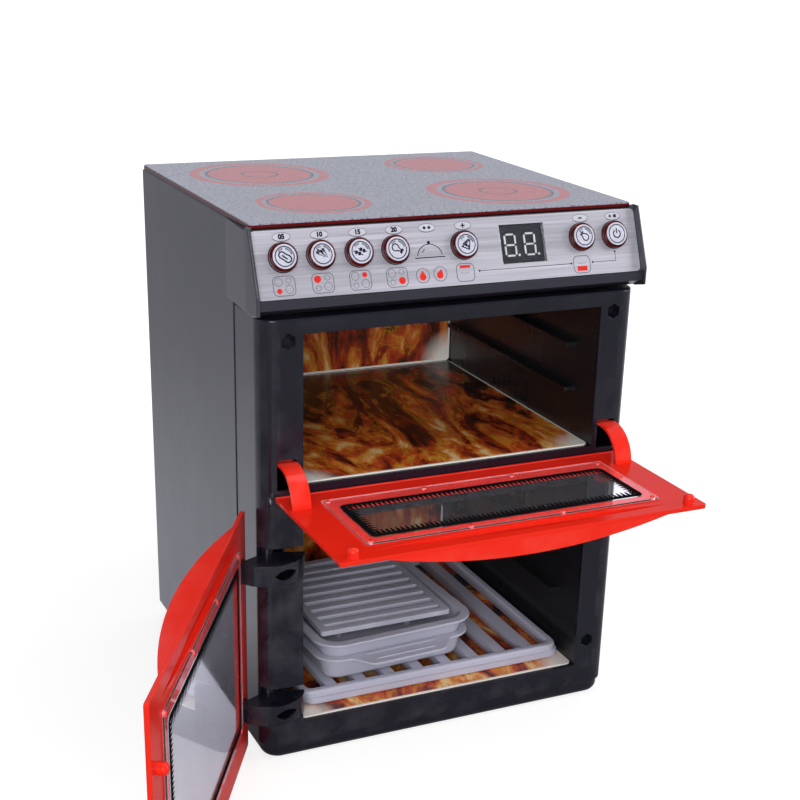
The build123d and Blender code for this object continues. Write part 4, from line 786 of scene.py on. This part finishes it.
# Labels over the buttons: an oval with a figure or a sign in it
PRINT = "brushed_panel"
LABEL_ROW = 44.4
LABEL_SHIFT = 1.0  # a label stands a little to the right of its button
LABEL_R = (5.6, 2.5)
LABEL_SHADE_R = (5.5, 2.5)
LABEL_FILL_R = (5.4, 2.2)
SHADE_DROP = 0.2
OVAL_LINE = 0.26
SHADE_LINE = 0.4
LABELS = {"five": "05", "ten": "10", "fifteen": "15", "twenty": "20"}
DISH_X = -17.9
label_x = {key: x + LABEL_SHIFT for key, x in BUTTON_X.items()}
label_x["dish"] = DISH_X
ovals = Marks()
oval_fill = Marks()
for x in label_x.values():
    ovals.line(circle(x, LABEL_ROW, LABEL_R[0], 40, LABEL_R[1]), OVAL_LINE, closed=True)
    shade = arc(x, LABEL_ROW - SHADE_DROP, LABEL_SHADE_R[0], 200, 340, 24, LABEL_SHADE_R[1])
    ovals.line(shade, SHADE_LINE, level=OVERPRINT)
    oval_fill.plate(circle(x, LABEL_ROW, LABEL_FILL_R[0], 32, LABEL_FILL_R[1]), 0.0, INK_THICK / 2)
ovals.done("panel_label_ovals", ink_grey, fascia_at, "housing", PRINT)
oval_fill.done("panel_label_fills", ink_pale, fascia_at, "housing", PRINT)
for key, text in LABELS.items():
    figure_mark(f"panel_figures_{text}", text, label_x[key], LABEL_ROW)

# Signs on the other labels: plus, minus, play and stop, two diamonds
PLUS_BAR = (2.8, 0.8)
MINUS_BAR = (2.6, 0.9)
PLAY = [(-2.6, -1.1), (-0.6, 0.0), (-2.6, 1.1)]
STOP_SHIFT = 1.6
STOP_SIDE = 2.0
DIAMOND = [(-1.2, 0), (0, -1.2), (1.2, 0), (0, 1.2)]
DIAMOND_SHIFT = 1.6
signs = Marks()
signs.plate(rectangle(label_x["plus"], LABEL_ROW, *PLUS_BAR))
signs.plate(rectangle(label_x["plus"], LABEL_ROW, *PLUS_BAR[::-1]), OVERPRINT)
signs.plate(rectangle(label_x["minus"], LABEL_ROW, *MINUS_BAR))
signs.plate(moved(PLAY, label_x["power"], LABEL_ROW))
signs.plate(rectangle(label_x["power"] + STOP_SHIFT, LABEL_ROW, STOP_SIDE, STOP_SIDE))
for shift in (-DIAMOND_SHIFT, DIAMOND_SHIFT):
    signs.plate(moved(DIAMOND, DISH_X + shift, LABEL_ROW))

# Covered dish: bell, tray line, knob and a glint
DISH_BASE = 27.0
DISH_TRAY = (-28.0, -7.8)
DISH_TRAY_ROW = 26.4
DISH_KNOB = (35.4, 1.0)  # row and radius
DISH_LINES = (0.5, 0.6, 0.4)  # bell, tray and glint
BELL = (8.2, 7.4)
GLINT = (5.8, 5.2)
bell_line, tray_line, glint_line = DISH_LINES
signs.line(arc(DISH_X, DISH_BASE, BELL[0], 5, 175, 24, BELL[1]), bell_line)
signs.line([(x, DISH_TRAY_ROW) for x in DISH_TRAY], tray_line)
signs.plate(circle(DISH_X, *DISH_KNOB, 16))
signs.line(arc(DISH_X, DISH_BASE, GLINT[0], 122, 150, 8, GLINT[1]), glint_line)

# Leads from the lower oven's mark to the power button and to the upper oven's mark
LEAD_ROW = 16.0
LEAD_WIDE = 0.3
LEAD_DOT = 0.65
LEADS = (
    [(14.2, LEAD_ROW), (79.6, LEAD_ROW)],
    [(95.4, LEAD_ROW), (112.6, LEAD_ROW), (112.6, 21.8)],
)
for lead in LEADS:
    signs.line(lead, LEAD_WIDE)
    for x, y in (lead[0], lead[-1]):
        signs.plate(circle(x, y, LEAD_DOT, 12), OVERPRINT)
signs.done("panel_signs", ink, fascia_at, "housing", PRINT)

# Hob marks: four rings in a rounded frame, one of them red
ICON_ROW = 15.9
ICON_LINE = 0.46
ICON_CORNER = 3.0
HOB_FRAME = (13.6, 11.4)
HOB_SPOTS = ((-3.2, 2.5, 2.4), (3.0, 3.1, 1.6), (-3.2, -2.9, 1.6), (3.0, -2.1, 2.4))  # x, y, radius
SPOT_LINE = 0.3
RED_SPOT = (0.45, 0.72)  # a red spot's radius: so much, and this share of its ring's
HOB_MARKS = ((-113.3, 2), (-89.1, 0), (-65.2, 1), (-41.3, 3))  # where, and which spot is red
icon_lines = Marks()
icon_red = Marks()
for cx, lit in HOB_MARKS:
    icon_lines.line(rounded(cx, ICON_ROW, *HOB_FRAME, ICON_CORNER), ICON_LINE, closed=True)
    for number, (dx, dy, r) in enumerate(HOB_SPOTS):
        if number == lit:
            icon_red.plate(circle(cx + dx, ICON_ROW + dy, RED_SPOT[0] + RED_SPOT[1] * r, 24))
        else:
            icon_lines.line(circle(cx + dx, ICON_ROW + dy, r, 24), SPOT_LINE, closed=True)

# Two drops in rings
DROPS = ((-24.4, 15.7, 0.0), (-12.6, 16.0, -20.0))  # x, y, lean
DROP_RING = (4.4, 0.42)  # radius and line
DROP_SIZE = 1.15
drop = arc(0, -0.7, 1.9, -205, 25, 14) + [(0.5, 2.0), (0.0, 2.9), (-0.5, 2.0)]
for cx, cy, lean in DROPS:
    icon_lines.line(circle(cx, cy, DROP_RING[0], 28), DROP_RING[1], closed=True)
    icon_red.plate(moved(drop, cx, cy, lean, DROP_SIZE))

# The two ovens: a rounded frame with a red bar at the top or the bottom
OVEN_FRAME = (12.0, 10.8)
OVEN_BAR_WIDE = 7.2
OVEN_ARC = (3.2, 1.0)
OVEN_ARC_LINE = 0.22
OVEN_MARKS = (  # x, y, then the bar's rise and height, then the arc's rise
    (4.5, 15.7, 3.6, 1.7, 0.6),
    (87.3, 15.1, -2.6, 3.0, 1.6),
)
for cx, cy, rise, tall, arc_rise in OVEN_MARKS:
    icon_lines.line(rounded(cx, cy, *OVEN_FRAME, ICON_CORNER), ICON_LINE, closed=True)
    icon_lines.line(arc(cx, cy + arc_rise, OVEN_ARC[0], 200, 340, 10, OVEN_ARC[1]), OVEN_ARC_LINE)
    icon_red.plate(rectangle(cx, cy + rise, OVEN_BAR_WIDE, tall))
icon_lines.done("panel_hob_marks", ink_grey, fascia_at, "housing", PRINT)
icon_red.done("panel_red_marks", ink_red, fascia_at, "housing", PRINT)

# Pictures on the button discs, each drawn round its button's middle
RING_R = 5.75
RING_LINE = 0.55
DASH_REACH = (4.1, 5.2)  # short marks inside the ring
DASH_LINE = 0.44
DASH_ROWS = ((16, 74, 8), (104, 134, 4))  # first and last angle, count


def steak(m, x, y):
    rim = arc(-1.6, 0.9, 1.9, 30, 230, 14) + arc(1.9, -1.5, 2.1, -150, 75, 14)
    m.line(moved(rim, x, y), 0.8, closed=True)
    m.line(moved([(-1.5, 0.9), (-0.3, -0.3), (1.6, -1.6)], x, y), 0.85)


def carrots(m, x, y):
    for dx, dy, turn in ((-1.3, 0.2, 52), (1.1, 0.4, 34)):
        m.line(moved([(-1.0, 1.2), (1.0, 1.2), (0.0, -3.4)], x + dx, y + dy, turn), 0.6, closed=True)
        m.plate(moved(circle(-0.7, 2.2, 0.75, 12), x + dx, y + dy, turn))
        m.plate(moved(circle(0.8, 2.2, 0.75, 12), x + dx, y + dy, turn), OVERPRINT)


def skewer(m, x, y):
    lean = -24
    for dy, first, last in ((1.0, -2.2, 3.6), (-1.6, -4.6, 1.8)):
        m.line(moved([(first, dy), (last, dy)], x, y, lean), 0.6)
        for step in (-1.2, 0.9):
            middle = step + (first + last) / 2
            m.plate(moved(rounded(middle, dy, 1.7, 2.2, 0.5), x, y, lean), OVERPRINT)


def drumstick(m, x, y):
    lean = -32
    meat = arc(-1.6, 0, 2.1, 30, 330, 20) + [(2.4, -0.5), (2.4, 0.5)]
    m.line(moved(meat, x, y, lean), 0.72, closed=True)
    m.plate(moved(circle(3.0, 0.8, 0.85, 12), x, y, lean))
    m.plate(moved(circle(3.0, -0.8, 0.85, 12), x, y, lean), OVERPRINT)


def slice_of_pie(m, x, y):
    m.line(moved([(-3.2, -1.4), (2.6, 2.4), (1.4, -3.4)], x, y), 0.75, closed=True)
    m.line(moved([(-2.6, 0.0), (2.0, 3.0)], x, y), 0.8)
    m.plate(moved(circle(-0.2, -0.6, 0.9, 14), x, y), OVERPRINT)
    m.plate(moved(circle(1.2, -1.6, 0.8, 14), x, y), 2 * OVERPRINT)


def aubergine(m, x, y):
    lean, stroke = -42, 0.72
    fruit = arc(1.3, 0, 2.1, -140, 140, 18) + [(-1.8, 0.9), (-1.8, -0.9)]
    m.line(moved(fruit, x, y, lean), stroke, closed=True)
    m.line(moved([(-1.8, 0), (-4.0, 0.4)], x, y, lean), stroke)
    m.line(moved([(-2.8, 1.9), (-1.9, 0.0), (-2.8, -1.7)], x, y, lean), stroke)


def power(m, x, y):
    stroke = 0.81
    m.line(arc(x, y, 2.5, -235, 55, 24), stroke)
    m.line([(x, y + 0.2), (x, y + 3.4)], stroke)


PICTURES = {
    "five": steak,
    "ten": carrots,
    "fifteen": skewer,
    "twenty": drumstick,
    "plus": slice_of_pie,
    "minus": aubergine,
    "power": power,
}
for key, draw in PICTURES.items():
    picture = Marks()
    middle_x = BUTTON_X[key]
    draw(picture, middle_x, BUTTON_ROW)
    picture.line(circle(middle_x, BUTTON_ROW, RING_R, 48), RING_LINE, closed=True)
    dashes = () if key == "power" else DASH_ROWS
    for first, last, count in dashes:
        for k in range(count):
            t = math.radians(first + (last - first) * k / (count - 1))
            dash = [(middle_x + r * math.cos(t), BUTTON_ROW + r * math.sin(t)) for r in DASH_REACH]
            picture.line(dash, DASH_LINE)
    picture.done(f"button_{key}_picture", ink, disc_at, f"button_{key}", "button_silver")

# ------------------------------------------------------------------ printed window borders
WINDOW_HALF = 92.0
WINDOW_TOP = 24.5  # from the door's handle edge
UPPER_WINDOW_LOW = 76.3
LOWER_WINDOW_LOW = 139.0
BORDER_BAND = 3.4
BORDER_CORNERS = (4.0, 2.0)  # outer and inner radius
TOOTH_PITCH = 3.1
LONG_TEETH = 6.0  # on the long edges
SHORT_TEETH = 4.4
TOOTH_FIRST = 1.0  # plain stretch at each corner
TOOTH_ROOT = 0.3  # how far a tooth starts inside the band
TOOTH_FAT = 0.47  # half width at the root, as a share of the pitch
TOOTH_TIP = 0.16  # width of the tip, as a share of the root
TOOTH_RISE = 0.005


def sawtooth_border(name, matrix, low, body):
    """Black border printed round the window, with fine teeth towards the clear middle."""
    middle = (WINDOW_TOP + low) / 2
    outer, inner = BORDER_CORNERS
    inside = (2 * (WINDOW_HALF - BORDER_BAND), low - WINDOW_TOP - 2 * BORDER_BAND)
    marks = Marks()
    marks.band(
        rounded(0, middle, 2 * WINDOW_HALF, low - WINDOW_TOP, outer),
        rounded(0, middle, *inside, inner),
    )
    left, right = -inside[0] / 2, inside[0] / 2
    top, bottom = middle - inside[1] / 2, middle + inside[1] / 2
    sides = (
        ((left, top), (right, top), (0, 1), LONG_TEETH),
        ((left, bottom), (right, bottom), (0, -1), LONG_TEETH),
        ((left, top), (left, bottom), (1, 0), SHORT_TEETH),
        ((right, top), (right, bottom), (-1, 0), SHORT_TEETH),
    )
    for (ax, ay), (bx, by), (nx, ny), depth in sides:
        length = math.hypot(bx - ax, by - ay)
        ux, uy = (bx - ax) / length, (by - ay) / length
        count = int((length - 2 * TOOTH_FIRST) / TOOTH_PITCH)
        pitch = (length - 2 * TOOTH_FIRST) / count
        root = TOOTH_FAT * pitch
        tip = TOOTH_TIP * root
        for k in range(count):
            along = TOOTH_FIRST + (k + 0.5) * pitch
            x = ax + ux * along - nx * TOOTH_ROOT
            y = ay + uy * along - ny * TOOTH_ROOT
            tooth = [
                (x - ux * root, y - uy * root),
                (x + ux * root, y + uy * root),
                (x + ux * tip + nx * depth, y + uy * tip + ny * depth),
                (x - ux * tip + nx * depth, y - uy * tip + ny * depth),
            ]
            marks.plate(tooth, TOOTH_RISE)
    marks.done(name, ink_window, matrix, body, "frame_black")


# The borders lie on the panes' inner faces, each in a plane from the middle of its door's handle edge
PRINT_RISE = 1.31  # pane with the gap behind it, and the print's own gap
UPPER_HANDLE_EDGE = (FRONT - 105.9, 186.0)  # y of the open door's free edge, z of the pane's seat
upper_at = plane_matrix((0, UPPER_HANDLE_EDGE[0], UPPER_HANDLE_EDGE[1] + PRINT_RISE), (1, 0, 0), (0, 0, 1))
sawtooth_border("upper_pane_border", upper_at, UPPER_WINDOW_LOW, "upper_door")

OPEN = math.radians(119.5)
LOWER_PIVOT = (-122.0, FRONT + 12.7)
PIVOT_TO_SEAT = 13.7
DOOR_MIDDLE = 122.0  # from the pivot along the door
LOWER_HANDLE_EDGE = 171.9
along_door = (math.cos(OPEN), -math.sin(OPEN), 0)
inward = (math.sin(OPEN), math.cos(OPEN), 0)
print_in = PRINT_RISE - PIVOT_TO_SEAT
middle = [LOWER_PIVOT[k] + DOOR_MIDDLE * along_door[k] + print_in * inward[k] for k in (0, 1)]
lower_at = plane_matrix((*middle, LOWER_HANDLE_EDGE), along_door, inward)
sawtooth_border("lower_pane_border", lower_at, LOWER_WINDOW_LOW, "lower_door")

# ------------------------------------------------------------------ studio
# Floor that bends up into the wall behind the oven, metres
FLOOR_HALF = 3.0
FLOOR_DROP = 0.0002
WALL_AT = 2.4
WALL_HIGH = 3.0
BEND = 0.6
BEND_STEPS = 12
bend_turns = [math.pi / 2 * k / BEND_STEPS for k in range(BEND_STEPS + 1)]
profile = [(-FLOOR_HALF, 0.0)]
profile += [(WALL_AT - BEND + BEND * math.sin(t), BEND - BEND * math.cos(t)) for t in bend_turns]
profile += [(WALL_AT, WALL_HIGH)]
floor_shape = bmesh.new()
rows = []
for x in (-FLOOR_HALF, FLOOR_HALF):
    rows.append([floor_shape.verts.new((x, y, z - FLOOR_DROP)) for y, z in profile])
for k in range(len(profile) - 1):
    floor_shape.faces.new((rows[0][k], rows[1][k], rows[1][k + 1], rows[0][k + 1]))
floor_data = bpy.data.meshes.new("studio_floor")
floor_shape.to_mesh(floor_data)
floor_shape.free()
for polygon in floor_data.polygons:
    polygon.use_smooth = True
floor = bpy.data.objects.new("studio_floor", floor_data)
bpy.context.scene.collection.objects.link(floor)

PAPER = 0.34  # how pale the paper is to the lamps
PAPER_NEAR = 0.74  # how white it is to the camera close to the oven; 1 farther off
THROUGH_GLASS = 0.8  # the share of that seen through the panes
NEAR_REACH = (0.25, 0.9)
PAPER_GLOW = 0.72  # how white it is in the plastic's mirror, behind the oven
GLOW_FROM = (-0.06, 0.08)  # y where that whiteness starts and is full
GLOW_REACH = (0.3, 0.9)
GLOW_FAR = 0.5
MIRROR_TINT = (0.86, 0.87, 1.0, 1)
WHITE = (1, 1, 1, 1)


def paper_material():
    """Matt paper, white to the camera. The plastic mirrors it white behind the oven and dull before it."""
    n = Nodes("studio_paper")
    n.set(Base_Color=n.tones(n.noise(3.0), PAPER, PAPER + 0.02), Roughness=0.9)
    n.set(Specular_IOR_Level=0.1)
    ray = n.new("ShaderNodeLightPath").outputs
    reach = n.new("ShaderNodeVectorMath", operation="LENGTH")
    n.link(n.place, reach.inputs[0])
    away = reach.outputs["Value"]
    through = n.math("MULTIPLY", ray["Is Transmission Ray"], THROUGH_GLASS)
    direct = n.math("ADD", ray["Is Camera Ray"], through)
    direct = n.math("MULTIPLY", direct, n.remap(away, *NEAR_REACH, PAPER_NEAR, 1.0))
    glow = n.remap(n.xyz()[1], *GLOW_FROM, 0.0, PAPER_GLOW)
    glow = n.math("MULTIPLY", glow, n.remap(away, *GLOW_REACH, 1.0, GLOW_FAR))
    mirrored = n.math("MULTIPLY", ray["Is Glossy Ray"], glow)
    n.set(Emission_Strength=n.math("ADD", direct, mirrored))
    n.set(Emission_Color=n.mix(ray["Is Glossy Ray"], WHITE, MIRROR_TINT))
    return n.material


floor.data.materials.append(paper_material())

WORLD_FILL = 0.38
DULL_FRONT = 0.3
DULL_FROM = (-0.75, 0.1)  # y of the direction where the dull front ends and full white starts
world = bpy.data.worlds.new("studio_world")
bpy.context.scene.world = world
world.use_nodes = True
tree = world.node_tree
tree.nodes.clear()


def world_math(operation, a, b):
    node = tree.nodes.new("ShaderNodeMath")
    node.operation = operation
    for socket, value in zip(node.inputs, (a, b)):
        if isinstance(value, float):
            socket.default_value = value
        else:
            tree.links.new(value, socket)
    return node.outputs[0]


# White behind the oven and dull in front of it, as the plastic mirrors it
ray = tree.nodes.new("ShaderNodeLightPath").outputs
towards = tree.nodes.new("ShaderNodeSeparateXYZ")
tree.links.new(tree.nodes.new("ShaderNodeTexCoord").outputs["Generated"], towards.inputs[0])
behind = tree.nodes.new("ShaderNodeMapRange")
for socket, value in zip(RANGE_SOCKETS, (*DULL_FROM, DULL_FRONT, 1.0)):
    behind.inputs[socket].default_value = value
tree.links.new(towards.outputs[1], behind.inputs["Value"])
seen = world_math("MAXIMUM", ray["Is Camera Ray"], ray["Is Transmission Ray"])
seen = world_math("ADD", seen, world_math("MULTIPLY", ray["Is Glossy Ray"], behind.outputs[0]))
lit = world_math("ADD", seen, world_math("MULTIPLY", ray["Is Diffuse Ray"], WORLD_FILL))
sky = tree.nodes.new("ShaderNodeBackground")
sky.inputs["Color"].default_value = WHITE
tree.links.new(lit, sky.inputs["Strength"])
tree.links.new(sky.outputs[0], tree.nodes.new("ShaderNodeOutputWorld").inputs[0])

LAMPS = (  # name, place, aim, width and height, watts
    ("key", (-0.85, -1.95, 0.85), (0, 0, 0.15), (1.1, 1.0), 33),
    ("top", (0.2, 0.1, 1.9), (0, 0, 0.2), (1.6, 1.2), 10.5),
    ("fill", (1.9, -0.9, 0.9), (0, 0, 0.15), (0.9, 1.2), 18),
)
for name, place, aim, size, power in LAMPS:
    data = bpy.data.lights.new(name, "AREA")
    data.shape = "RECTANGLE"
    data.size, data.size_y = size
    data.energy = power
    light = bpy.data.objects.new(name, data)
    light.location = place
    light.rotation_euler = (Vector(aim) - Vector(place)).to_track_quat("-Z", "Y").to_euler()
    bpy.context.scene.collection.objects.link(light)

bpy.context.scene.view_settings.view_transform = "Standard"
